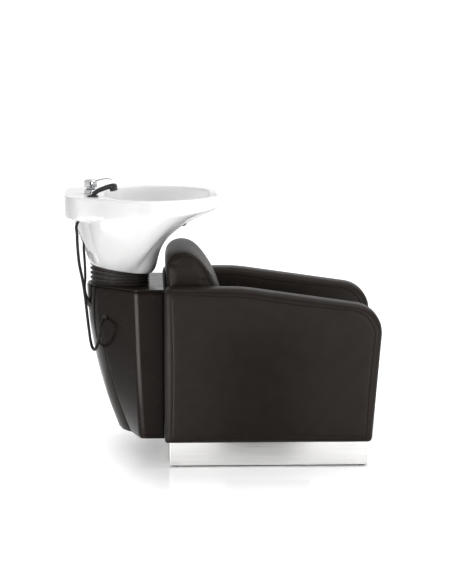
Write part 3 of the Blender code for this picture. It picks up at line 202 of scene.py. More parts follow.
# Tap and shower, with turned profiles as (radius, height)
MIXER = Vector((-0.466 + SHIFT, -0.055, 0.0))
MIXER_FOOT_Z = DECK_Z + 0.0036
MIXER_BODY = ((0.0, 0.977), (0.0132, 0.977), (0.0136, 0.9766), (0.0195, 0.9745), (0.0215, 0.9735),
              (0.0230, 0.9718), (0.0235, 0.9695), (0.0231, 0.9686), (0.0231, 0.9678), (0.0235, 0.9670),
              (0.0235, MIXER_FOOT_Z + 0.0006), (0.0229, MIXER_FOOT_Z), (0.0140, MIXER_FOOT_Z),
              (0.0140, 0.922), (0.0, 0.922))
BALL_Z = 0.985
BALL_RADIUS = 0.0176
HANDLE_CAP = ((0.0, 1.0110), (0.008, 1.0109), (0.0140, 1.0106), (0.0185, 1.0098), (0.0213, 1.0080),
              (0.0228, 1.0052), (0.0235, 1.0020), (0.0235, BALL_Z), (0.0232, BALL_Z - 0.0011),
              (0.0218, BALL_Z - 0.0015))
LEVER_ROUTE = ((0.0165, 0, 1.0040), (0.0394, 0, 1.0105), (0.0615, 0, 1.0125), (0.0815, 0, 1.0098))
LEVER_STEPS = 36
TURNED_STEPS = 64
SHOWER_MOUTH = Vector((-0.458 + SHIFT, -0.146, DECK_Z))
SHOWER_AXIS = Vector((0.5, 0.0, 0.8660254))
SPRAY_WAY = Vector((0.20, 0.0, -1.0)).normalized()
SPRAY_HEAD = SHOWER_MOUTH + Vector((0.0745, 0, 0.0345))
SPRAY_BELL = ((0.0, -0.004), (0.0085, -0.003), (0.0120, 0.002), (0.0142, 0.008), (0.0145, 0.0130),
              (0.0, 0.0130))
SPRAY_PLATE = ((0.0, 0.0020), (0.0105, 0.0020), (0.0122, 0.0014), (0.0130, 0.0), (0.0, 0.0))
SPRAY_JET = ((0.0, 0.0009), (0.0005, 0.0009), (0.0008, 0.0), (0.0, 0.0))
HANDSET_RADIUS = 0.0085
HANDSET_STEPS = 60
HANDSET_SIDES = 28
HOSE_RADIUS = 0.0055
SUPPLY_RADIUS = 0.0045
MIXER_HOLE = 0.016
SHOWER_HOLE = HOSE_RADIUS + 0.003
# A ribbed hose has this many rings in each rib
RIB_RINGS = 4

# Hoses' routes, as chosen for the solids
SHOWER_ROUTE = ((-0.5092, -0.1460, 0.8781), (-0.5142, -0.1460, 0.8694), (-0.5214, -0.1451, 0.8515),
                (-0.5195, -0.1392, 0.8227), (-0.5190, -0.1312, 0.7942), (-0.5177, -0.1225, 0.7659),
                (-0.5157, -0.1147, 0.7374), (-0.5128, -0.1066, 0.7091), (-0.5081, -0.0977, 0.6813),
                (-0.5028, -0.0885, 0.6537), (-0.4985, -0.0795, 0.6258), (-0.4949, -0.0710, 0.5977),
                (-0.4918, -0.0644, 0.5691), (-0.4890, -0.0593, 0.5400), (-0.4861, -0.0549, 0.5109),
                (-0.4830, -0.0511, 0.4817), (-0.4796, -0.0498, 0.4524), (-0.4758, -0.0506, 0.4232),
                (-0.4697, -0.0676, 0.4003), (-0.4618, -0.0942, 0.3933), (-0.4537, -0.1200, 0.4047),
                (-0.4469, -0.1387, 0.4264), (-0.4422, -0.1513, 0.4526), (-0.4387, -0.1567, 0.4813),
                (-0.4300, -0.1395, 0.5021), (-0.4251, -0.1283, 0.5106))
HOT_ROUTE = ((-0.4760, -0.0485, 0.9217), (-0.4759, -0.0486, 0.8932), (-0.4822, -0.0431, 0.8662),
             (-0.4898, -0.0362, 0.8396), (-0.4942, -0.0313, 0.8119), (-0.4968, -0.0276, 0.7838),
             (-0.4975, -0.0256, 0.7554), (-0.4957, -0.0256, 0.7269), (-0.4939, -0.0260, 0.6985),
             (-0.4930, -0.0260, 0.6700), (-0.4932, -0.0260, 0.6415), (-0.4981, -0.0260, 0.6135),
             (-0.4953, -0.0260, 0.5856), (-0.4830, -0.0260, 0.5599))
COLD_ROUTE = ((-0.4760, -0.0615, 0.9217), (-0.4759, -0.0616, 0.8933), (-0.4822, -0.0559, 0.8663),
              (-0.4898, -0.0495, 0.8398), (-0.4942, -0.0471, 0.8118), (-0.4968, -0.0463, 0.7836),
              (-0.4975, -0.0458, 0.7552), (-0.4957, -0.0458, 0.7268), (-0.4939, -0.0460, 0.6984),
              (-0.4934, -0.0460, 0.6700), (-0.4930, -0.0460, 0.6416), (-0.4945, -0.0460, 0.6132),
              (-0.4895, -0.0460, 0.5855), (-0.4772, -0.0460, 0.5599))

# Photograph's view, for an image of 452 by 584
IMAGE_WIDTH = 452
FOCAL_PX = 2730.0
SENSOR_WIDTH = 36.0
VIEW_AZIMUTH = math.radians(-2.0)
VIEW_ELEVATION = math.radians(8.4)
VIEW_DISTANCE = 10.0
VIEW_AIM = Vector((0.026 + SHIFT, 0.0, 0.58818))

# Studio
WHITE = (1.0, 1.0, 1.0, 1.0)
WORLD_LIGHT = 0.48
FLOOR_REACH = 60.0
FLOOR_DROP = 0.0004
FLOOR_COLOUR = (0.92, 0.92, 0.92, 1.0)
FLOOR_SHEEN = 0.14
FLOOR_SHEEN_ROUGHNESS = 0.16
# Painted light: the glow the floor adds to its lit colour where it is seen, near the object and far from it,
# which lifts the floor's shadows
FLOOR_GLOW = (0.16, 0.72)
FLOOR_GLOW_GROWS = (0.03, 0.36)
# The glow starts over this stretch, this far inside the plinth's ends and sides
FLOOR_GLOW_STARTS = (0.0, 0.02)
FLOOR_GLOW_INSET = (0.015, 0.004)
# The painted glow grows this much slower in front of the object than beside it, so it washes out the shadow
# beside the object sooner
FLOOR_GLOW_SLOWER = 0.30
# Name, place, aim, width, height, power and whether gloss mirrors it
LAMPS = (("key_softbox", (2.4, -4.8, 0.75), (0.0, 0.0, 0.65), 2.2, 1.1, 142.0, True),
         ("top_softbox", (1.3, -0.1, 3.2), (-0.1, 0.0, 0.7), 2.4, 2.4, 56.0, True),
         ("low_fill", (1.2, -1.4, 0.05), (-0.2, -0.15, 0.8), 1.2, 0.5, 3.0, False),
         ("left_fill", (-2.2, -2.2, 1.3), (-0.45, -0.2, 0.9), 1.5, 1.0, 8.0, False))
# Name, left and right edge in plan, bottom, top and glow
CARDS = (("flag", (-0.95, -2.2), (-0.10, -2.2), 0.55, 1.50, 0.0),
         ("dark_card", (0.00, -0.52), (0.30, -0.52), 0.002, 0.45, 0.0),
         ("left_card", (-1.22, -0.78), (-0.98, -1.09), 0.002, 0.58, 5.0),
         ("corner_card", (-1.29, -0.68), (-0.71, -1.24), 0.002, 0.60, 16.0),
         ("rear_card", (-0.55, 0.62), (-1.06, 0.24), 0.05, 0.34, 2.4),
         ("right_card", (1.20, -1.15), (1.50, -0.70), 0.002, 0.62, 4.0))
CARD_COLOUR = (0.02, 0.02, 0.02, 1.0)


# Objects and shader nodes

def linked(name, data):
    """A new object in the scene."""
    thing = bpy.data.objects.new(name, data)
    bpy.context.scene.collection.objects.link(thing)
    return thing


def set_sockets(node, values):
    for socket, value in values.items():
        node.inputs[socket].default_value = value


def add_node(tree, kind, values, sources, operation=None):
    """A shader node with constants on some sockets and links into others."""
    node = tree.nodes.new(kind)
    if operation:
        node.operation = operation
    set_sockets(node, values)
    for socket, source in sources.items():
        tree.links.new(source, node.inputs[socket])
    return node


def map_range(tree, source, low, high, to_low, to_high):
    return add_node(tree, "ShaderNodeMapRange", {1: low, 2: high, 3: to_low, 4: to_high}, {0: source})


def seen_rays(tree):
    """A socket that is 1 for camera, glossy and transmission rays, and 0 for the others."""
    path = add_node(tree, "ShaderNodeLightPath", {}, {})
    last = path.outputs["Is Camera Ray"]
    for kind in ("Is Glossy Ray", "Is Transmission Ray"):
        last = add_node(tree, "ShaderNodeMath", {}, {0: last, 1: path.outputs[kind]}, "MAXIMUM").outputs[0]
    return last


# Camera, light and floor

def build_camera():
    scene = bpy.context.scene
    scene.view_settings.view_transform = "Standard"
    way = Vector((math.sin(VIEW_AZIMUTH) * math.cos(VIEW_ELEVATION),
                  -math.cos(VIEW_AZIMUTH) * math.cos(VIEW_ELEVATION), math.sin(VIEW_ELEVATION)))
    lens = bpy.data.cameras.new("photo_view")
    lens.sensor_fit = "HORIZONTAL"
    lens.sensor_width = SENSOR_WIDTH
    lens.lens = FOCAL_PX / IMAGE_WIDTH * SENSOR_WIDTH
    lens.clip_end = 100.0
    camera = linked("photo_view", lens)
    camera.location = VIEW_AIM + way * VIEW_DISTANCE
    camera.rotation_euler = way.to_track_quat("Z", "Y").to_euler()
    scene.camera = camera


def build_world():
    """A world that shows as white and lights the object with less than that."""
    world = bpy.data.worlds.new("studio")
    world.use_nodes = True
    bpy.context.scene.world = world
    tree = world.node_tree
    shown = tree.nodes["Background"]
    set_sockets(shown, {"Color": WHITE, "Strength": 1.0})
    light = add_node(tree, "ShaderNodeBackground", {"Color": WHITE, "Strength": WORLD_LIGHT}, {})
    mix = add_node(tree, "ShaderNodeMixShader", {},
                   {0: seen_rays(tree), 1: light.outputs[0], 2: shown.outputs[0]})
    tree.links.new(mix.outputs[0], tree.nodes["World Output"].inputs["Surface"])


def build_lamps():
    for name, place, aim, wide, tall, power, mirrored in LAMPS:
        lamp = bpy.data.lights.new(name, "AREA")
        lamp.shape = "RECTANGLE"
        lamp.size = wide
        lamp.size_y = tall
        lamp.energy = power
        box = linked(name, lamp)
        box.location = place
        box.rotation_euler = (Vector(place) - Vector(aim)).to_track_quat("Z", "Y").to_euler()
        box.visible_camera = False
        box.visible_glossy = mirrored


def stage_sheet(name, corners):
    """A flat sheet of the studio."""
    mesh = bpy.data.meshes.new(name)
    mesh.from_pydata(corners, [], [(0, 1, 2, 3)])
    sheet = linked(name, mesh)
    material = bpy.data.materials.new(name + "_paint")
    material.use_nodes = True
    mesh.materials.append(material)
    return sheet


def build_floor():
    """A pale floor with a sheen, whose painted glow, left out under the plinth and grown away from it, lifts
    its shadows.
    """
    floor = stage_sheet("floor", [(x * FLOOR_REACH, y * FLOOR_REACH, 0.0)
                                  for x, y in ((-1, -1), (1, -1), (1, 1), (-1, 1))])
    floor.location.z = -FLOOR_DROP
    tree = floor.data.materials[0].node_tree
    tree.nodes.remove(tree.nodes["Principled BSDF"])
    matt = add_node(tree, "ShaderNodeBsdfDiffuse", {"Color": FLOOR_COLOUR}, {})
    sheen = add_node(tree, "ShaderNodeBsdfGlossy", {"Roughness": FLOOR_SHEEN_ROUGHNESS}, {})
    mix = add_node(tree, "ShaderNodeMixShader", {0: FLOOR_SHEEN}, {1: matt.outputs[0], 2: sheen.outputs[0]})
    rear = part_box("plinth_rear")[0]
    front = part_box("plinth_front")[1]
    half = ((front[0] - rear[0]) / 2 - FLOOR_GLOW_INSET[0], front[1] - FLOOR_GLOW_INSET[1], 1.0)
    spot = add_node(tree, "ShaderNodeTexCoord", {}, {}).outputs["Object"]
    for operation, values in (("SUBTRACT", {1: ((rear[0] + front[0]) / 2, 0.0, 0.0)}),
                              ("ABSOLUTE", {}),
                              ("SUBTRACT", {1: half}),
                              ("MAXIMUM", {1: (0.0, 0.0, 0.0)}),
                              ("MULTIPLY", {1: (1.0, FLOOR_GLOW_SLOWER, 0.0)})):
        spot = add_node(tree, "ShaderNodeVectorMath", values, {0: spot}, operation).outputs[0]
    away = add_node(tree, "ShaderNodeVectorMath", {}, {0: spot}, "LENGTH").outputs["Value"]
    level = seen_rays(tree)
    for stretch, levels in ((FLOOR_GLOW_STARTS, (0.0, 1.0)), (FLOOR_GLOW_GROWS, FLOOR_GLOW)):
        ramp = map_range(tree, away, *stretch, *levels)
        ramp.interpolation_type = "SMOOTHSTEP"
        level = add_node(tree, "ShaderNodeMath", {}, {0: level, 1: ramp.outputs[0]}, "MULTIPLY").outputs[0]
    # Painted light: the floor's glow, which lifts its shadows away from the plinth
    glow = add_node(tree, "ShaderNodeEmission", {}, {"Strength": level})
    both = add_node(tree, "ShaderNodeAddShader", {}, {0: mix.outputs[0], 1: glow.outputs[0]})
    tree.links.new(both.outputs[0], tree.nodes["Material Output"].inputs["Surface"])


def build_cards():
    """Dark and bright cards round the object, seen only in reflections, to model metal and gloss."""
    for name, left, right, low, high, glow in CARDS:
        card = stage_sheet(name, ((*left, low), (*right, low), (*right, high), (*left, high)))
        set_sockets(card.data.materials[0].node_tree.nodes["Principled BSDF"],
                    {"Base Color": CARD_COLOUR, "Roughness": 1.0, "Emission Color": WHITE,
                     "Emission Strength": glow})
        card.visible_camera = False
        card.visible_diffuse = False
        card.visible_shadow = False


# Materials

class Paint:
    """A Principled material with helpers for its procedural detail."""

    def __init__(self, name, metallic=0.0, specular=0.5, coat=0.0, coat_roughness=0.05, anisotropic=0.0):
        self.material = bpy.data.materials.new(name)
        self.material.use_nodes = True
        self.tree = self.material.node_tree
        self.shader = self.tree.nodes["Principled BSDF"]
        set_sockets(self.shader, {"Metallic": metallic, "Specular IOR Level": specular, "Coat Weight": coat,
                                  "Coat Roughness": coat_roughness, "Anisotropic": anisotropic})
        self.coords = add_node(self.tree, "ShaderNodeTexCoord", {}, {}).outputs["Object"]
        self.normal = None

    def noise(self, scale, detail=3.0, stretch=None):
        coords = self.coords
        if stretch:
            node = add_node(self.tree, "ShaderNodeMapping", {"Scale": stretch}, {"Vector": coords})
            coords = node.outputs[0]
        values = {"Scale": scale, "Detail": detail}
        node = add_node(self.tree, "ShaderNodeTexNoise", values, {"Vector": coords})
        return node.outputs["Fac"]

    def cells(self, scale, feature):
        node = add_node(self.tree, "ShaderNodeTexVoronoi", {"Scale": scale}, {"Vector": self.coords})
        node.feature = feature
        return node.outputs["Distance"]

    def spread(self, source, low, high, to_low, to_high):
        return map_range(self.tree, source, low, high, to_low, to_high).outputs[0]

    def tones(self, source, *colours, first=0.3, last=0.7):
        """Colour the base through the colours in turn as the source goes from first to last."""
        node = add_node(self.tree, "ShaderNodeValToRGB", {}, {0: source})
        elements = node.color_ramp.elements
        while len(elements) < len(colours):
            elements.new(0.5)
        for k, colour in enumerate(colours):
            elements[k].position = first + (last - first) * k / (len(colours) - 1)
            elements[k].color = (*colour, 1.0)
        self.tree.links.new(node.outputs[0], self.shader.inputs["Base Color"])

    def rough(self, source, low, high):
        self.tree.links.new(self.spread(source, 0.3, 0.7, low, high), self.shader.inputs["Roughness"])

    def bump(self, source, distance, strength):
        sources = {"Height": source}
        if self.normal is not None:
            sources["Normal"] = self.normal
        node = add_node(self.tree, "ShaderNodeBump", {"Strength": strength, "Distance": distance}, sources)
        self.normal = node.outputs[0]
        self.tree.links.new(self.normal, self.shader.inputs["Normal"])


def leather_paint():
    paint = Paint("leather", specular=0.095)
    paint.tones(paint.noise(26.0, 5.0), (0.0086, 0.0057, 0.0041), (0.0114, 0.0078, 0.0056))
    paint.rough(paint.noise(60.0, 4.0), 0.36, 0.46)
    paint.bump(paint.noise(7.0, 2.0), 0.0030, 0.35)
    grain = paint.spread(paint.cells(520.0, "DISTANCE_TO_EDGE"), 0.0, 0.22, 0.0, 1.0)
    paint.bump(grain, 0.00016, 0.75)
    paint.bump(paint.noise(1500.0, 2.0), 0.00006, 0.6)
    return paint.material


def thread_paint():
    paint = Paint("thread", specular=0.25)
    paint.tones(paint.noise(900.0), (0.012, 0.010, 0.009), (0.026, 0.022, 0.020))
    paint.rough(paint.noise(400.0), 0.55, 0.75)
    paint.bump(paint.noise(2600.0, 1.0), 0.0001, 0.8)
    return paint.material


def ceramic_paint():
    paint = Paint("white_glaze", coat=0.35, coat_roughness=0.09)
    paint.tones(paint.noise(5.0, 2.0), (0.795, 0.796, 0.795), (0.822, 0.822, 0.818))
    paint.rough(paint.noise(14.0, 3.0), 0.14, 0.20)
    paint.bump(paint.noise(16.0, 2.0), 0.0004, 0.12)
    return paint.material


def console_paint():
    paint = Paint("gloss_moulding", specular=0.085)
    paint.tones(paint.noise(11.0, 3.0), (0.0082, 0.0052, 0.0037), (0.0104, 0.0068, 0.0050))
    paint.rough(paint.noise(30.0, 4.0), 0.20, 0.28)
    paint.bump(paint.noise(230.0, 2.0), 0.00012, 0.10)
    return paint.material


def steel_paint(name, stretch):
    """Brushed steel, its streaks drawn out along one axis."""
    paint = Paint(name, metallic=1.0, anisotropic=0.45)
    streaks = paint.noise(1.0, 4.0, stretch)
    paint.tones(streaks, (0.50, 0.497, 0.490), (0.62, 0.617, 0.610))
    paint.rough(streaks, 0.26, 0.42)
    paint.bump(streaks, 0.00005, 0.5)
    return paint.material


def chrome_paint():
    paint = Paint("chrome_plate", metallic=1.0)
    paint.tones(paint.noise(40.0), (0.43, 0.435, 0.445), (0.51, 0.515, 0.525))
    paint.rough(paint.noise(90.0, 4.0), 0.05, 0.11)
    paint.bump(paint.noise(300.0, 2.0), 0.00003, 0.2)
    return paint.material


def plastic_paint(name, dark, light, smoothest, roughest):
    """A moulded plastic with a fine spark-eroded texture."""
    paint = Paint(name, specular=0.4)
    paint.tones(paint.noise(50.0, 3.0), dark, light)
    paint.rough(paint.noise(120.0, 3.0), smoothest, roughest)
    paint.bump(paint.cells(1300.0, "F1"), 0.00008, 0.5)
    return paint.material


def rubber_paint(name, dark, light, specular):
    paint = Paint(name, specular=specular)
    paint.tones(paint.noise(35.0, 4.0), dark, light)
    paint.rough(paint.noise(80.0, 4.0), 0.42, 0.60)
    paint.bump(paint.noise(700.0, 3.0), 0.0001, 0.4)
    return paint.material


def powder_paint():
    paint = Paint("powder_coat", specular=0.35)
    paint.tones(paint.noise(30.0, 3.0), (0.024, 0.024, 0.026), (0.034, 0.034, 0.036))
    paint.rough(paint.noise(90.0, 3.0), 0.45, 0.60)
    paint.bump(paint.noise(900.0, 2.0), 0.0002, 0.5)
    return paint.material


def plywood_paint():
    """Plywood under a dark stain."""
    paint = Paint("plywood", specular=0.3)
    grain = paint.noise(1.0, 5.0, (6.0, 90.0, 320.0))
    paint.tones(grain, (0.018, 0.013, 0.010), (0.030, 0.022, 0.017), (0.042, 0.032, 0.025),
                first=0.25, last=0.75)
    paint.rough(grain, 0.60, 0.80)
    paint.bump(grain, 0.0002, 0.6)
    return paint.material


# Shape helpers

def painted(mesh, material):
    mesh.materials.clear()
    mesh.materials.append(material)


def smoothed(mesh, sharp=None):
    """Shade a mesh smooth, apart from edges past an angle in degrees."""
    mesh.shade_smooth()
    if sharp:
        mesh.set_sharp_from_angle(angle=math.radians(sharp))


def new_piece(name, mesh, material, sharp=None):
    mesh.name = name
    piece = linked(name, mesh)
    painted(mesh, material)
    smoothed(mesh, sharp)
    return piece


def turns(count):
    """Evenly spaced angles round a full turn."""
    return [2.0 * math.pi * k / count for k in range(count)]


def round_point(radius, angle, height=0.0):
    return Vector((radius * math.cos(angle), radius * math.sin(angle), height))


def lifted(point, z):
    """The same place in plan at a height."""
    return Vector((point.x, point.y, z))


def mesh_of(points, faces):
    """A mesh with its double points merged and its faces turned outwards."""
    mesh = bpy.data.meshes.new("mesh")
    mesh.from_pydata([tuple(p) for p in points], [], faces)
    shape = bmesh.new()
    shape.from_mesh(mesh)
    bmesh.ops.remove_doubles(shape, verts=shape.verts, dist=MERGE_DISTANCE)
    bmesh.ops.recalc_face_normals(shape, faces=shape.faces)
    shape.to_mesh(mesh)
    shape.free()
    return mesh


def skin(rings, wrap, closed):
    """Faces between neighbouring rings; wrap joins the last ring to the first, closed closes each ring."""
    count = len(rings[0])
    faces = []
    for r in range(len(rings) if wrap else len(rings) - 1):
        a = r * count
        b = (r + 1) % len(rings) * count
        for i in range(count if closed else count - 1):
            j = (i + 1) % count
            faces.append((a + i, a + j, b + j, b + i))
    return faces


def loft(rings, wrap=False):
    """Skin a stack of closed rings, with both ends capped or the last ring joined to the first."""
    count = len(rings[0])
    faces = skin(rings, wrap, closed=True)
    if not wrap:
        faces.append(tuple(range(count)))
        faces.append(tuple(range((len(rings) - 1) * count, len(rings) * count)))
    return mesh_of([p for ring in rings for p in ring], faces)


def lathe(profile, steps):
    """Turn an (r, h) profile round Z."""
    rings = [[(r * math.cos(a), r * math.sin(a), h) for r, h in profile] for a in turns(steps)]
    mesh = mesh_of([p for ring in rings for p in ring], skin(rings, wrap=True, closed=False))
    shape = bmesh.new()
    shape.from_mesh(mesh)
    bmesh.ops.dissolve_degenerate(shape, edges=shape.edges, dist=MERGE_DISTANCE / 2)
    shape.to_mesh(mesh)
    shape.free()
    return mesh


def turned_to(mesh, point, axis=UP):
    turn = UP.rotation_difference(Vector(axis)).to_matrix().to_4x4()
    mesh.transform(Matrix.Translation(Vector(point)) @ turn)
    return mesh


def rounded(corners, steps):
    """An outline through (x, y, radius) corners with each corner rounded."""
    outline = []
    for i, (x, y, radius) in enumerate(corners):
        here = Vector((x, y))
        back = (Vector(corners[i - 1][:2]) - here).normalized()
        ahead = (Vector(corners[(i + 1) % len(corners)][:2]) - here).normalized()
        if radius <= 0.0:
            outline.append((x, y))
            continue
        half = back.angle(ahead) / 2.0
        centre = here + (back + ahead).normalized() * (radius / math.sin(half))
        start = here + back * (radius / math.tan(half)) - centre
        end = here + ahead * (radius / math.tan(half)) - centre
        turn = start.angle_signed(end)
        for k in range(steps + 1):
            outline.append(tuple(centre + Matrix.Rotation(-turn * k / steps, 2) @ start))
    return outline


def path_length(path):
    return sum((q - p).length for p, q in zip(path, path[1:]))


def resampled(points, count, steps):
    """Points along a line, each a step on from the last, with so many steps to its end."""
    lengths = [0.0]
    for p, q in zip(points, points[1:]):
        lengths.append(lengths[-1] + (q - p).length)
    even = []
    i = 0
    for k in range(count):
        want = lengths[-1] * k / steps
        while i < len(points) - 2 and lengths[i + 1] < want:
            i += 1
        span = max(lengths[i + 1] - lengths[i], 1e-9)
        even.append(points[i].lerp(points[i + 1], (want - lengths[i]) / span))
    return even


def even_outline(outline, spacing):
    """Points evenly spaced round a closed outline."""
    points = [Vector(p) for p in outline] + [Vector(outline[0])]
    count = max(8, round(path_length(points) / spacing))
    return resampled(points, count, count)


def heading(a, b, c):
    before = (b - a).length
    after = (c - b).length
    return ((b - a) * (after / before) + (c - b) * (before / after)) / (before + after)


def smooth_path(knots, samples, steps=24):
    """Points on a smooth curve through the knots, evenly spaced along it."""
    knots = [Vector(k) for k in knots]
    ends = [knots[0] * 2 - knots[1]] + knots + [knots[-1] * 2 - knots[-2]]
    fine = []
    for i in range(1, len(ends) - 2):
        a, b, c, d = ends[i - 1:i + 3]
        leave = heading(a, b, c) * (c - b).length
        arrive = heading(b, c, d) * (c - b).length
        for k in range(steps):
            t = k / steps
            fine.append(b.lerp(c, t * t * (3.0 - 2.0 * t)) + leave * (t * (1.0 - t) ** 2)
                        - arrive * (t * t * (1.0 - t)))
    fine.append(knots[-1])
    return resampled(fine, samples, samples - 1)


def tube(path, radii, sides, closed=False):
    """A round tube along a path, with a radius at each point."""
    count = len(path)
    rings = []
    side = None
    for k, point in enumerate(path):
        before = path[k - 1] if k or closed else point
        after = path[(k + 1) % count] if k < count - 1 or closed else point
        along = (after - before).normalized()
        if side is None:
            side = along.orthogonal().normalized()
        side = (side - along * side.dot(along)).normalized()
        up = along.cross(side)
        rings.append([point + (side * math.cos(a) + up * math.sin(a)) * radii[k] for a in turns(sides)])
    return loft(rings, wrap=closed)


def joined(meshes):
    """Several meshes as one."""
    shape = bmesh.new()
    for mesh in meshes:
        shape.from_mesh(mesh)
        bpy.data.meshes.remove(mesh)
    mesh = bpy.data.meshes.new("mesh")
    shape.to_mesh(mesh)
    shape.free()
    return mesh


def applied(piece):
    """The piece with its modifiers applied."""
    bpy.context.view_layer.update()
    graph = bpy.context.evaluated_depsgraph_get()
    mesh = bpy.data.meshes.new_from_object(piece.evaluated_get(graph))
    piece.modifiers.clear()
    old = piece.data
    piece.data = mesh
    bpy.data.meshes.remove(old)
    return piece


def cut(piece, tools, operation="DIFFERENCE"):
    """Cut meshes out of a piece, or join them on."""
    scrap = []
    for mesh in tools:
        tool = linked("tool", mesh)
        step = piece.modifiers.new("cut", "BOOLEAN")
        step.operation = operation
        step.solver = "EXACT"
        step.object = tool
        scrap.append(tool)
    applied(piece)
    for tool in scrap:
        mesh = tool.data
        bpy.data.objects.remove(tool, do_unlink=True)
        bpy.data.meshes.remove(mesh)


def voxels(piece, size):
    step = piece.modifiers.new("remesh", "REMESH")
    step.mode = "VOXEL"
    step.voxel_size = size


def rod(start, end, radius, steps=32):
    start = Vector(start)
    end = Vector(end)
    length = (end - start).length
    profile = ((0.0, 0.0), (radius, 0.0), (radius, length), (0.0, length))
    return turned_to(lathe(profile, steps), start, (end - start).normalized())


def block(low, high):
    points = [(x, y, z) for x in (low[0], high[0]) for y in (low[1], high[1]) for z in (low[2], high[2])]
    faces = [(0, 1, 3, 2), (4, 6, 7, 5), (0, 4, 5, 1), (2, 3, 7, 6), (0, 2, 6, 4), (1, 5, 7, 3)]
    return mesh_of(points, faces)


def smoothstep(low, high, value):
    t = min(max((value - low) / (high - low), 0.0), 1.0)
    return t * t * (3.0 - 2.0 * t)


def middle_of(node):
    low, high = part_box(node)
    return (Vector(low) + Vector(high)) / 2


def finish_piece(piece, body, nodes):
    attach(piece, body)
    if nodes:
        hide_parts(*nodes)


def bend_piece(piece, node):
    """Hide the solid of a rubber piece that runs between the console and the basin, and bake the piece's
    place into its mesh.
    """
    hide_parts(node)
    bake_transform(piece)


# Upholstered panels: armrests and front apron

def padded_panel(name, outline, centre, half, put, edge, puffs, material):
    """A padded slab: a gusset round the outline, rounded edges, a sewn seam and a crowned panel each side.

    put turns (u, v, w) into a point; half is half the slab's thickness along w; puffs are the two
    panels' crowns, on the low and the high side of w.
    """
    def section(puff):
        """From beside the gusset's middle over the edge to the crown, as (inset, height) rows."""
        rows = [(GUSSET_SIDE[0], GUSSET_SIDE[1] * half), (0.0, half - edge)]
        for turn in EDGE_TURNS:
            a = math.radians(turn)
            rows.append((edge - edge * math.cos(a), half - edge + edge * math.sin(a)))
        rows += [(edge + inset, half - depth) for inset, depth in SEAM_GROOVE]
        rows += [(edge + inset, half + share * puff) for inset, share in CROWN_RISE]
        return rows

    def ring(inset, height, share=0.0):
        """The outline drawn in by an inset, and by a share of what is then left to the centre."""
        points = []
        for p in outline:
            span = (centre - p).length
            points.append(put(*p.lerp(centre, (inset + (span - inset) * share) / span), height))
        return points

    start = edge + CROWN_RISE[-1][0]
    rings = [ring(start, -(half + puffs[0]), share) for share in reversed(CROWN_SHARES)]
    rings += [ring(inset, -height) for inset, height in reversed(section(puffs[0]))]
    rings.append(ring(GUSSET_MIDDLE, 0.0))
    rings += [ring(inset, height) for inset, height in section(puffs[1])]
    rings += [ring(start, half + puffs[1], share) for share in CROWN_SHARES]
    return new_piece(name, loft(rings), material)


def stitches(name, line, normal, material):
    """A row of sewing stitches along a closed line on a surface."""
    points = [Vector(p) for p in line]
    shape = bmesh.new()
    travelled = 0.0
    wanted = 0.0
    for p, q in zip(points, points[1:] + points[:1]):
        span = (q - p).length
        along = (q - p).normalized()
        across = along.cross(normal).normalized()
        while wanted < travelled + span:
            at = p.lerp(q, (wanted - travelled) / span) + normal * (THREAD_RADIUS * 0.5)
            rings = []
            for step, grow in STITCH_FORM:
                middle = at + along * (STITCH_LENGTH * step)
                rings.append([shape.verts.new(middle + (across * math.cos(a) + normal * math.sin(a))
                                              * (THREAD_RADIUS * grow)) for a in turns(THREAD_SIDES)])
            for a, b in zip(rings, rings[1:]):
                for i in range(THREAD_SIDES):
                    j = (i + 1) % THREAD_SIDES
                    shape.faces.new((a[i], a[j], b[j], b[i]))
            shape.faces.new(rings[0])
            shape.faces.new(rings[-1])
            wanted += STITCH_PITCH
        travelled += span
    bmesh.ops.recalc_face_normals(shape, faces=shape.faces)
    mesh = bpy.data.meshes.new(name)
    shape.to_mesh(mesh)
    shape.free()
    return new_piece(name, mesh, material)


def build_arms(leather, thread):
    outline = even_outline(rounded(ARM_CORNERS, steps=16), spacing=0.0085)
    half = ARM_THICK / 2
    for side, sign in SIDES:
        middle = sign * (ARM_OUTER_Y - half)
        puffs = (ARM_CROWN, 0.0) if sign < 0 else (0.0, ARM_CROWN)
        arm = padded_panel("arm_" + side, outline, ARM_MIDDLE, half,
                           lambda u, v, w: Vector((u, middle + w, v)), ARM_ROUND, puffs, leather)
        finish_piece(arm, CHAIR, ["arm_" + side])
        outer = middle + sign * (half + STITCH_LIFT)
        line = []
        for p in outline:
            spot = p.lerp(ARM_MIDDLE, (ARM_ROUND + STITCH_INSET) / (ARM_MIDDLE - p).length)
            line.append((spot.x, outer, spot.y))
        row = stitches("arm_" + side + "_stitching", line, Vector((0.0, sign, 0.0)), thread)
        finish_piece(row, CHAIR, [])


def build_apron(leather):
    low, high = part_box("front_apron")
    middle = (high[0] + low[0]) / 2
    wide = high[1] - APRON_SIDE_GAP
    top = high[2] - APRON_TOP_GAP
    corners = ((-wide, low[2], APRON_FOOT_ROUND), (-wide, top, APRON_ROUND), (wide, top, APRON_ROUND),
               (wide, low[2], APRON_FOOT_ROUND))
    outline = even_outline(rounded(corners, steps=4), spacing=0.012)
    centre = Vector((0.0, (low[2] + high[2]) / 2))
    apron = padded_panel("front_apron_cover", outline, centre, (high[0] - low[0]) / 2,
                         lambda u, v, w: Vector((middle + w, u, v)), APRON_ROUND, (0.0, APRON_CROWN),
                         leather)
    finish_piece(apron, CHAIR, ["front_apron"])


# Cushions

def remeshed(name, node, material, voxel, shrink):
    """A fine closed copy of a soft solid, drawn in a little all round."""
    piece = new_piece(name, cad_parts[node].data.copy(), material)
    voxels(piece, voxel)
    mesh = applied(piece).data
    moved = [v.co - v.normal * shrink for v in mesh.vertices]
    for vert, point in zip(mesh.vertices, moved):
        vert.co = point
    mesh.update()
    return piece


def places(mesh):
    flat = np.empty(len(mesh.vertices) * 3, np.float32)
    mesh.vertices.foreach_get("co", flat)
    return flat.reshape(-1, 3)


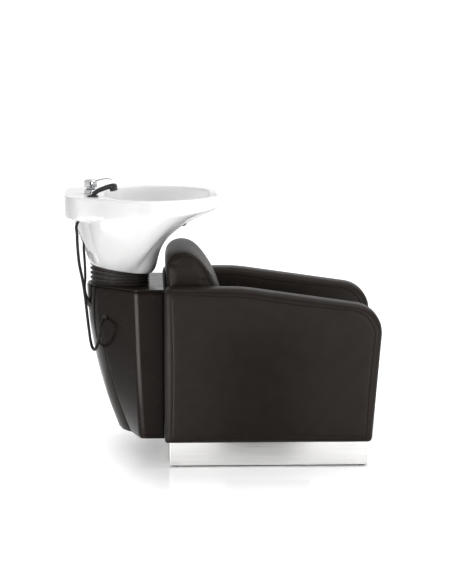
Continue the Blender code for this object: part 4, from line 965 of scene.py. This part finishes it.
def swollen(piece, start, held, pressure):
    """Where a short cloth simulation under pressure takes a piece's points, with the held ones kept."""
    group = piece.vertex_groups.new(name="held")
    group.add([i for i in range(len(start)) if held(start[i])], 1.0, "REPLACE")
    settings = piece.modifiers.new("swell", "CLOTH").settings
    settings.quality = 5
    settings.mass = 0.3
    settings.tension_stiffness = 15.0
    settings.compression_stiffness = 15.0
    settings.shear_stiffness = 8.0
    settings.bending_stiffness = 6.0
    settings.use_pressure = True
    settings.uniform_pressure_force = pressure
    settings.vertex_group_mass = "held"
    settings.effector_weights.gravity = 0.0
    scene = bpy.context.scene
    for number in range(1, SWELL_FRAMES + 1):
        scene.frame_set(number)
    graph = bpy.context.evaluated_depsgraph_get()
    end = places(piece.evaluated_get(graph).data)
    piece.modifiers.clear()
    piece.vertex_groups.clear()
    scene.frame_set(1)
    return end


def inflate(piece, held, cap, low, high, pressure):
    """Swell a cushion by no more than the cap, kept inside a box."""
    mesh = piece.data
    start = places(mesh)
    end = start
    end = swollen(piece, start, held, pressure)
    move = end - start
    far = np.linalg.norm(move, axis=1, keepdims=True)
    move *= np.minimum(1.0, cap / np.maximum(far, 1e-9))
    final = np.clip(start + move, np.array(low), np.array(high))
    mesh.vertices.foreach_set("co", final.astype(np.float32).ravel())
    mesh.update()


def surface_loop(piece, centre, ways):
    """Where rays from a centre inside a piece meet its surface, evened out."""
    mesh = piece.data
    tree = BVHTree.FromPolygons([v.co for v in mesh.vertices], [p.vertices for p in mesh.polygons])
    hits = [tree.ray_cast(centre, way)[0] for way in ways]
    loop = [hit for hit in hits if hit]
    for _ in range(2):
        loop = [(loop[i - 1] + p * 2 + loop[(i + 1) % len(loop)]) / 4 for i, p in enumerate(loop)]
    return loop


def pull_in(piece, loops, depth, width):
    """Draw the surface in along seam loops."""
    points = []
    for loop in loops:
        for p, q in zip(loop, loop[1:] + loop[:1]):
            points += [p, p.lerp(q, 0.5)]
    tree = KDTree(len(points))
    for i, point in enumerate(points):
        tree.insert(point, i)
    tree.balance()
    mesh = piece.data
    moves = []
    for vert in mesh.vertices:
        distance = tree.find(vert.co)[2]
        moves.append(vert.normal * (depth * math.exp(-(distance / width) ** 2)))
    for vert, move in zip(mesh.vertices, moves):
        vert.co -= move
    mesh.update()


def subdivided(piece):
    step = piece.modifiers.new("fine", "SUBSURF")
    step.levels = 1
    step.render_levels = 1
    smoothed(applied(piece).data)


def sew_cushion(piece, node, fans, leather, groove, welt):
    """Refine a cushion and sew its seams, each where a fan of rays meets its surface, with piping along it.

    A fan is a centre and its rays' ways, groove a seam's depth and width, and welt the piping's radius and
    how far it lies below the surface.
    """
    subdivided(piece)
    loops = [surface_loop(piece, centre, ways) for centre, ways in fans]
    pull_in(piece, loops, *groove)
    finish_piece(piece, CHAIR, [node])
    radius, sunk = welt
    meshes = []
    for (centre, _), loop in zip(fans, loops):
        line = [p + (centre - p).normalized() * sunk for p in loop]
        meshes.append(tube(line, [radius] * len(line), WELT_SIDES, closed=True))
    finish_piece(new_piece(node + "_piping", joined(meshes), leather), CHAIR, [])


def build_seat(leather):
    node = "seat_cushion"
    low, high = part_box(node)
    seat = remeshed("seat_cushion_cover", node, leather, voxel=0.006, shrink=0.005)
    inflate(seat, held=lambda p: p[2] < low[2] + 0.010, cap=0.024, low=(low[0] - 0.001, low[1], low[2]),
            high=(high[0] + 0.004, high[1], high[2] + 0.008), pressure=4.0)
    ways = [round_point(1.0, angle) for angle in turns(160)]
    middle = (low[0] + high[0]) / 2
    fans = [(Vector((middle, 0.0, z)), ways) for z in (high[2] - 0.026, low[2] + 0.022)]
    sew_cushion(seat, node, fans, leather, groove=(0.0030, 0.007), welt=(0.0021, 0.0022))


def build_back(leather):
    node = "backrest_cushion"
    low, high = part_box(node)
    back = remeshed("backrest_cushion_cover", node, leather, voxel=0.0055, shrink=0.004)
    inflate(back, held=lambda p: p[2] < low[2] + 0.02 or p[0] < low[0] + 0.016, cap=0.022, low=tuple(low),
            high=(high[0] + 0.004, high[1], high[2] + 0.005), pressure=3.0)
    ways = [Vector((math.cos(angle), 0.0, math.sin(angle))) for angle in turns(140)]
    fans = [(Vector((BACK_MIDDLE_X, sign * (high[1] - 0.012), BACK_MIDDLE_Z)), ways) for sign in (-1.0, 1.0)]
    sew_cushion(back, node, fans, leather, groove=(0.0026, 0.006), welt=(0.0020, 0.0020))


# Console

def console_rise(z):
    return (z - CONSOLE_FOOT_Z) / (CONSOLE_TOP_Z - CONSOLE_FOOT_Z)


def nose_point(z, y):
    """A point of the console's rear at a height and a place across."""
    t = console_rise(z)
    x = NOSE_FOOT_X - 0.226 * t + 0.108 * t * t
    return Vector((x + NOSE_HOLLOW * (y / NOSE_HALF_Y) ** 2, y, z))


def side_line(z):
    """One side of the console's plan at a height, from the chair round the corner to the seam."""
    corner_x = CONSOLE_CORNER_X - 0.016 * console_rise(z)
    front = ARM_REAR_X - CONSOLE_GAP
    seam = nose_point(z, NOSE_HALF_Y)
    corners = ((front, 0.0, 0.0), (front, CONSOLE_HALF_Y, 0.0),
               (corner_x, CONSOLE_HALF_Y, CONSOLE_CORNER_ROUND), (seam.x, seam.y, 0.0))
    line = [Vector(p) for p in rounded(corners, 14)[1:]]
    first = [line[0].lerp(line[1], k / 6) for k in range(6)]
    last = [line[-2].lerp(line[-1], k / 24) for k in range(1, 25)]
    return first + line[1:-1] + last


def panel_heights():
    return [PANEL_LOW_Z + (PANEL_HIGH_Z - PANEL_LOW_Z) * k / PANEL_ROWS for k in range(PANEL_ROWS + 1)]


def shell(name, columns, material):
    """A bent panel of even thickness with softened edges."""
    rows = len(columns[0])
    faces = []
    for c in range(len(columns) - 1):
        for r in range(rows - 1):
            a = c * rows + r
            faces.append((a, a + rows, a + rows + 1, a + 1))
    mesh = bpy.data.meshes.new(name)
    mesh.from_pydata([tuple(p) for column in columns for p in column], [], faces)
    piece = new_piece(name, mesh, material)
    step = piece.modifiers.new("thickness", "SOLIDIFY")
    step.thickness = PANEL_THICK
    step.offset = -1.0
    step.use_even_offset = True
    edge = piece.modifiers.new("edges", "BEVEL")
    edge.width = PANEL_EDGE
    edge.segments = 2
    edge.limit_method = "ANGLE"
    edge.angle_limit = math.radians(60.0)
    return applied(piece)


def build_console_sides(gloss):
    heights = panel_heights()
    lines = [side_line(z) for z in heights]
    gland = middle_of("shower_hose_gland")
    out = Vector((-0.40, -0.92, 0.0)).normalized() * math.cos(SHOWER_GLAND_DROP)
    out.z = -math.sin(SHOWER_GLAND_DROP)
    for side, sign in SIDES:
        columns = [[Vector((line[k].x, sign * line[k].y, z)) for z, line in zip(heights, lines)]
                   for k in range(len(lines[0]))]
        if sign > 0:
            columns.reverse()
        panel = shell("console_side_" + side, columns, gloss)
        if sign < 0:
            cut(panel, [rod(gland - out * 0.04, gland + out * 0.04, HOSE_RADIUS + GLAND_ROOM)])
        smoothed(panel.data, PANEL_SHARP)
        finish_piece(panel, CHAIR, ["console_side_" + side])


def build_rear_cover(gloss):
    seam = NOSE_HALF_Y - COVER_GAP
    heights = panel_heights()
    columns = [[nose_point(z, -seam * (1.0 - 2.0 * k / COVER_COLUMNS)) for z in heights]
               for k in range(COVER_COLUMNS + 1)]
    cover = shell("console_rear_cover", columns, gloss)
    up = Vector((-math.sin(SUPPLY_GLAND_LEAN), 0.0, math.cos(SUPPLY_GLAND_LEAN)))
    holes = []
    for gland in ("hot_supply_gland", "cold_supply_gland"):
        at = middle_of(gland)
        holes.append(rod(at - up * 0.03, at + up * 0.03, SUPPLY_RADIUS + GLAND_ROOM))
    cut(cover, holes)
    smoothed(cover.data, PANEL_SHARP)
    finish_piece(cover, CHAIR, ["console_rear_cover"])


def build_screws(chrome):
    """Screw heads beside the seams of the rear cover, the lowest one in the side panel."""
    heads = []
    for sign in (-1.0, 1.0):
        low = side_line(SIDE_SCREW_Z)[-6]
        spots = [(Vector((low.x, sign * low.y, SIDE_SCREW_Z)), Vector((-0.60, sign * 0.76, -0.12)))]
        for z in COVER_SCREW_Z:
            spots.append((nose_point(z, sign * (NOSE_HALF_Y - COVER_SCREW_INSET)),
                          Vector((-0.78, sign * 0.60, -0.22))))
        for at, way in spots:
            heads.append(turned_to(lathe(SCREW_HEAD, steps=20), at, way.normalized()))
    screws = new_piece("console_screws", joined(heads), chrome, sharp=50.0)
    finish_piece(screws, CHAIR, [])


# Basin

def plan_curve(half):
    """A closed plan from its half, mirrored and smoothed."""
    whole = [Vector((x + SHIFT, y, 0.0)) for x, y in half]
    whole += [Vector((x + SHIFT, -y, 0.0)) for x, y in reversed(half[1:-1])]
    return smooth_path([whole[-1]] + whole + [whole[0], whole[1]], 500)


def reach(curve, angle):
    """How far a plan curve lies from the rim's centre in a direction."""
    step = round_point(1.0, angle)
    best = 0.0
    for p, q in zip(curve, curve[1:]):
        a = p - RIM_CENTRE
        b = q - RIM_CENTRE
        ca = step.x * a.y - step.y * a.x
        cb = step.x * b.y - step.y * b.x
        if ca * cb <= 0.0 and ca != cb:
            best = max(best, a.lerp(b, ca / (ca - cb)).dot(step))
    return best


def blended(turn, front, side, rear):
    """A value that goes from the basin's front by its side to its rear."""
    value = front + (side - front) * smoothstep(*FRONT_TO_SIDE, turn)
    return value + (rear - side) * smoothstep(*SIDE_TO_REAR, turn)


def foot_point(radius, angle, height):
    return FOOT_FRAME @ round_point(radius, angle, FOOT_HEIGHT + height)


def neck_dip(y, angle, depth):
    """How far the neck cradle dips below the rim."""
    if math.cos(angle) < 0.5:
        return 0.0
    return depth * (1.0 - smoothstep(0.25, 1.0, abs(y) / NECK_HALF_Y))


def skirt_points(turn, foot, under):
    """The outside from the foot up to the band under the rim."""
    power = blended(turn, 2.9, 0.65, 0.95)
    full = smoothstep(*SIDE_FILLS, turn) * (1.0 - smoothstep(*SIDE_TO_REAR, turn))
    bulge = blended(turn, 0.090, 0.035, 0.0)
    points = []
    for level in SKIRT_LEVELS:
        swell = bulge * (1.0 - math.exp(-level / 0.07))
        side = 0.5 * (1.0 - (1.0 - level) ** SIDE_FULLNESS)
        side += 0.5 * level * (1.1 + 0.8 * level - 0.9 * level ** 2)
        rise = (1.0 - full) * level ** power + full * side
        flat = foot.lerp(under, min(1.0, swell + (1.0 - bulge) * rise))
        points.append(lifted(flat, foot.z + (under.z - foot.z) * level))
    return points


def rim_points(edge, inward, top, turns_up):
    """A rounded edge of the rim."""
    points = []
    for degrees in turns_up:
        a = math.radians(degrees)
        points.append(lifted(edge + inward * (RIM_ROUND * (1.0 - math.cos(a))),
                             top - RIM_ROUND * (1.0 - math.sin(a))))
    return points


def bowl_points(angle, turn, inner, start_z):
    """The inside from the rim down to the drain's seat."""
    seat = foot_point(0.0305, angle, 0.032)
    power = blended(turn, 1.32, 0.22, 0.26)
    well = blended(turn, 0.12, 0.0, 0.0)
    points = []
    for depth in BOWL_DEPTHS:
        swell = well * (1.0 - math.exp(-depth / 0.05))
        flat = seat.lerp(inner, swell + (1.0 - well) * depth ** power)
        points.append(lifted(flat, seat.z + (start_z - seat.z) * depth))
    return points


def basin_column(angle, rim, body, bowl):
    """One line of the basin's skin: up the outside, over the rim, down the bowl, out of the drain."""
    turn = math.degrees(abs(math.atan2(math.sin(angle), math.cos(angle))))
    way = round_point(1.0, angle)
    outer = RIM_CENTRE + way * reach(rim, angle)
    inner = RIM_CENTRE + way * reach(bowl, angle)
    level_top = RIM_Z + (DECK_Z - RIM_Z) * smoothstep(*DECK_RISES, turn)
    top = level_top - neck_dip(outer.y, angle, NECK_RIM_DEPTH)
    inner_top = level_top - neck_dip(inner.y * 1.1, angle, NECK_DEPTH)
    neck = level_top - neck_dip(outer.y, angle, NECK_DEPTH)
    band = min(blended(turn, 0.917, 0.905, 0.880), neck - 0.018)
    band -= SKIRT_SAG * (smoothstep(*SAG_COMES, turn) - smoothstep(*SAG_GOES, turn))
    flush = smoothstep(*FLUSH_COMES, turn) * (1.0 - smoothstep(*FLUSH_GOES, turn))
    under = RIM_CENTRE + way * reach(body, angle)
    under = lifted(under.lerp(outer, 0.86 * flush), band - 0.009)
    column = [foot_point(FOOT_RADIUS - 0.0025, angle, 0.0)]
    column += skirt_points(turn, foot_point(FOOT_RADIUS, angle, 0.0), under)
    column.append(lifted(outer - way * (0.003 - 0.0028 * flush), band - 0.002))
    column.append(lifted(outer, band + 0.004))
    column.append(lifted(outer, max(band + 0.006, top - 0.024)))
    column += rim_points(outer, -way, top, RIM_TURNS)
    column.append(lifted(outer.lerp(inner, 0.5), (top + inner_top) / 2))
    column += rim_points(inner, way, inner_top, reversed(RIM_TURNS))
    column += bowl_points(angle, turn, inner, inner_top - RIM_ROUND)
    column += [foot_point(radius, angle, height) for radius, height in DRAIN_AND_FOOT]
    return column


def build_basin(glaze):
    plans = [plan_curve(half) for half in (RIM_PLAN, BODY_PLAN, BOWL_PLAN)]
    columns = [basin_column(t - COLUMN_CROWDING * math.sin(2.0 * t), *plans) for t in turns(BASIN_COLUMNS)]
    basin = new_piece("basin_bowl", loft(list(zip(*columns)), wrap=True), glaze)
    subdivided(basin)
    rings = []
    for z, rear, front, wide in DECK_HOLLOW:
        corners = ((rear, -wide), (front, -wide), (front, wide), (rear, wide))
        rings.append([(x + SHIFT, y, z) for x, y in corners])
    cut(basin, [block(*SUPPLY_CHANNEL), block(*DECK_POCKET), loft(rings),
                rod(lifted(MIXER, 0.918), lifted(MIXER, 0.978), MIXER_HOLE),
                rod(SHOWER_MOUTH - SHOWER_AXIS * 0.14, SHOWER_MOUTH + SHOWER_AXIS * 0.03, SHOWER_HOLE)])
    smoothed(basin.data, 38.0)
    finish_piece(basin, BASIN, ["basin"])


def collar_ring(radius, share):
    """A ring of the bellows, at a share of the way from the console top up to the pitched foot."""
    ring = []
    for angle in turns(COLLAR_SIDES):
        point = round_point(radius, angle)
        foot = FOOT_Z - COLLAR_FOOT_GAP - math.tan(FOOT_PITCH) * point.x
        ring.append(Vector((FOOT_X + point.x, point.y, COLLAR_LOW_Z + (foot - COLLAR_LOW_Z) * share)))
    return ring


def build_collar(rubber):
    """The bellows between the console top and the basin's pitched foot."""
    rings = []
    for row in range(COLLAR_ROWS + 1):
        share = row / COLLAR_ROWS
        wave = math.cos(2.0 * math.pi * COLLAR_RIBS * share)
        rings.append(collar_ring(COLLAR_RADIUS + COLLAR_WAVE * math.copysign(abs(wave) ** 0.8, wave), share))
    rings += [collar_ring(COLLAR_BORE, share) for share in (1.0, 0.75, 0.5, 0.25, 0.0)]
    collar = new_piece("bellows_collar_rubber", loft(rings, wrap=True), rubber, sharp=60.0)
    bend_piece(collar, "bellows_collar")


def build_strainer(chrome):
    """The domed hair strainer over the drain."""
    dome = FOOT_HEIGHT + 0.0346
    form = ((0.0, 0.0060), (0.006, 0.0058), (0.012, 0.0052), (0.017, 0.0040), (0.0215, 0.0020),
            (0.0240, 0.0006), (0.0245, 0.0), (0.0225, 0.0), (0.0165, 0.0024), (0.0115, 0.0036),
            (0.0, 0.0044))
    profile = [(radius, dome + height) for radius, height in form]
    strainer = new_piece("hair_strainer_dome", lathe(profile, TURNED_STEPS), chrome)
    holes = []
    for count, radius in ((6, 0.0075), (12, 0.0145)):
        for angle in turns(count):
            low = round_point(radius, angle, dome - 0.004)
            holes.append(rod(low, lifted(low, dome + 0.012), radius=0.0018, steps=12))
    cut(strainer, [joined(holes)])
    turned_to(strainer.data, (FOOT_X, 0.0, TILT_Z), (FOOT_FRAME.to_3x3() @ UP).normalized())
    smoothed(strainer.data, 40.0)
    finish_piece(strainer, BASIN, ["hair_strainer"])


# Mixer and hand shower

def lever_rings():
    """The lever's rings along its route, thinner from its root and flattened at its end."""
    path = smooth_path(LEVER_ROUTE, LEVER_STEPS)
    last = LEVER_STEPS - 1
    rings = []
    for k, point in enumerate(path):
        along = (path[min(k + 1, last)] - path[max(k - 1, 0)]).normalized()
        up = Vector((-along.z, 0.0, along.x))
        radius = 0.0030 - 0.0006 * smoothstep(0.0, 0.5, k / last)
        if k in (0, last):
            radius *= 0.6
        flat = smoothstep(0.55, 0.95, k / last)
        across = Vector((0.0, radius * (1.0 + 0.55 * flat), 0.0))
        tall = radius * (1.0 - 0.25 * flat)
        rings.append([point + across * math.cos(a) + up * (tall * math.sin(a)) for a in turns(20)])
    return rings


def build_mixer(chrome):
    shell_mesh = turned_to(lathe(MIXER_BODY, TURNED_STEPS), MIXER)
    body = new_piece("mixer_body_shell", shell_mesh, chrome, sharp=40.0)
    finish_piece(body, BASIN, ["mixer_body"])

    cap = list(HANDLE_CAP)
    for k in range(12):
        a = math.pi / 2 * k / 12
        cap.append((BALL_RADIUS * math.cos(a), BALL_Z + BALL_RADIUS * math.sin(a)))
    cap.append((0.0, BALL_Z + BALL_RADIUS))
    handle = new_piece("mixer_handle_cap", lathe(cap, TURNED_STEPS), chrome)
    cut(handle, [loft(lever_rings())], "UNION")
    turned_to(handle.data, MIXER)
    smoothed(handle.data, 42.0)
    finish_piece(handle, LEVER, ["mixer_handle"])


def build_handset(black):
    """The hand shower: a bent stem, a bell at its head and its tail in the deck."""
    route = [SHOWER_MOUTH + SHOWER_AXIS * -0.002, SHOWER_MOUTH + SHOWER_AXIS * 0.010]
    for x, z in ((0.016, 0.0185), (0.034, 0.0265), (0.056, 0.0345), (0.074, 0.0375), (0.088, 0.0345)):
        route.append(SHOWER_MOUTH + Vector((x, 0, z)))
    radii = []
    for k in range(HANDSET_STEPS):
        t = k / (HANDSET_STEPS - 1)
        size = 0.92 + 0.14 * smoothstep(0.15, 0.7, t) + 0.20 * smoothstep(0.72, 0.95, t)
        radii.append(HANDSET_RADIUS * size * (1.0 - 0.45 * smoothstep(0.93, 1.0, t)))
    stem = tube(smooth_path(route, HANDSET_STEPS), radii, HANDSET_SIDES)
    handset = new_piece("handset_shell", stem, black)
    bell = turned_to(lathe(SPRAY_BELL, steps=40), SPRAY_HEAD, SPRAY_WAY)
    tail = rod(SHOWER_MOUTH - SHOWER_AXIS * 0.092, SHOWER_MOUTH + SHOWER_AXIS * 0.004, HOSE_RADIUS,
               HANDSET_SIDES)
    cut(handset, [bell, tail], "UNION")
    voxels(handset, 0.0008)
    blur = handset.modifiers.new("blur", "SMOOTH")
    blur.factor = 0.5
    blur.iterations = 6
    applied(handset)
    painted(handset.data, black)
    smoothed(handset.data)
    finish_piece(handset, SHOWER, ["handset"])


def build_spray_face(grey):
    at = SPRAY_HEAD + SPRAY_WAY * 0.0133
    turn = UP.rotation_difference(SPRAY_WAY).to_matrix()
    meshes = [turned_to(lathe(SPRAY_PLATE, steps=48), at, SPRAY_WAY)]
    for count, radius in ((1, 0.0), (6, 0.0045), (12, 0.0088)):
        for angle in turns(count):
            spot = at + turn @ round_point(radius, angle, 0.0019)
            meshes.append(turned_to(lathe(SPRAY_JET, steps=10), spot, SPRAY_WAY))
    spray = new_piece("spray_face_jets", joined(meshes), grey, sharp=35.0)
    finish_piece(spray, SHOWER, ["spray_face"])


# Hoses

def ribbed(name, route, material, radius, pitch, rib, sides):
    """A ribbed tube along a route, and the path through its rings."""
    count = round(path_length(smooth_path(route, 400)) / pitch) * RIB_RINGS + 1
    path = smooth_path(route, count)
    radii = [radius - rib * (0.5 - 0.5 * math.cos(2.0 * math.pi * k / RIB_RINGS)) for k in range(count)]
    return new_piece(name, tube(path, radii, sides), material), path


def hose(name, node, route, material, radius, pitch, rib):
    """A free hose along its route, between the basin and the console."""
    piece, path = ribbed(name, route, material, radius, pitch, rib, sides=16)
    bend_piece(piece, node)


def build_hoses(rubber):
    hose("shower_hose_ribbed", "shower_hose", SHOWER_ROUTE, rubber, HOSE_RADIUS, pitch=0.0034, rib=0.0005)
    for name, route in (("hot", HOT_ROUTE), ("cold", COLD_ROUTE)):
        hose(name + "_supply_hose_braid", name + "_supply_hose", route, rubber, SUPPLY_RADIUS, pitch=0.0026,
             rib=0.0003)


def build_waste_hose(rubber):
    """The corrugated waste hose in the console, whose top starts at the basin's tail."""
    top = FOOT_FRAME @ Vector((0.0, 0.0, -0.0343))
    down = (FOOT_FRAME.to_3x3() @ -UP).normalized()
    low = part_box("waste_hose")[0][2]
    route = [top, top + down * 0.030, top + down * 0.060]
    for x, z in ((-0.366, 0.48), (-0.338, 0.36), (-0.310, 0.24), (-0.297, 0.16), (-0.295, low)):
        route.append(Vector((x + SHIFT, 0.0, z)))
    piece, _ = ribbed("waste_hose_corrugated", route, rubber, radius=0.0200, pitch=0.0066, rib=0.0024,
                      sides=20)
    bend_piece(piece, "waste_hose")


def paint_nodes(material, *names):
    for name in names:
        painted(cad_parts[name].data, material)


build_camera()
build_world()
build_lamps()
build_floor()
build_cards()
leather = leather_paint()
gloss = console_paint()
chrome = chrome_paint()
rubber = rubber_paint("black_rubber", (0.0235, 0.0195, 0.0178), (0.0320, 0.0272, 0.0250), specular=0.25)
hose_rubber = rubber_paint("hose_rubber", (0.0050, 0.0048, 0.0046), (0.0085, 0.0081, 0.0078), specular=0.12)
black = plastic_paint("black_plastic", (0.0095, 0.0095, 0.0100), (0.0155, 0.0155, 0.0160), 0.30, 0.44)
grey = plastic_paint("grey_plastic", (0.36, 0.37, 0.38), (0.43, 0.44, 0.45), 0.42, 0.55)
build_hoses(hose_rubber)
build_arms(leather, thread_paint())
build_apron(leather)
build_seat(leather)
build_back(leather)
build_console_sides(gloss)
build_rear_cover(gloss)
build_screws(chrome)
build_basin(ceramic_paint())
build_collar(rubber)
build_strainer(chrome)
build_waste_hose(hose_rubber)
build_mixer(chrome)
build_handset(black)
build_spray_face(grey)

paint_nodes(steel_paint("brushed_steel_sides", (3.0, 900.0, 900.0)),
            "plinth_left", "plinth_right", "hinge_pin_left", "hinge_pin_right")
paint_nodes(steel_paint("brushed_steel_ends", (900.0, 3.0, 900.0)), "plinth_front", "plinth_rear")
paint_nodes(gloss, "console_top", "console_floor")
paint_nodes(chrome, "mixer_ring", "mixer_cartridge", "waste_body")
paint_nodes(rubber, "basin_bumper", "shower_hose_gland", "hot_supply_gland", "cold_supply_gland")
paint_nodes(black, "shower_deck_ring", "glide_front_left", "glide_front_right", "glide_rear_left",
            "glide_rear_right")
paint_nodes(grey, "mixer_nut", "waste_nut")
paint_nodes(powder_paint(), "frame_post_left", "frame_post_right", "support_plate", "tilt_bracket",
            "tilt_yoke")
paint_nodes(plywood_paint(), "base_board", "back_board", "seat_board")
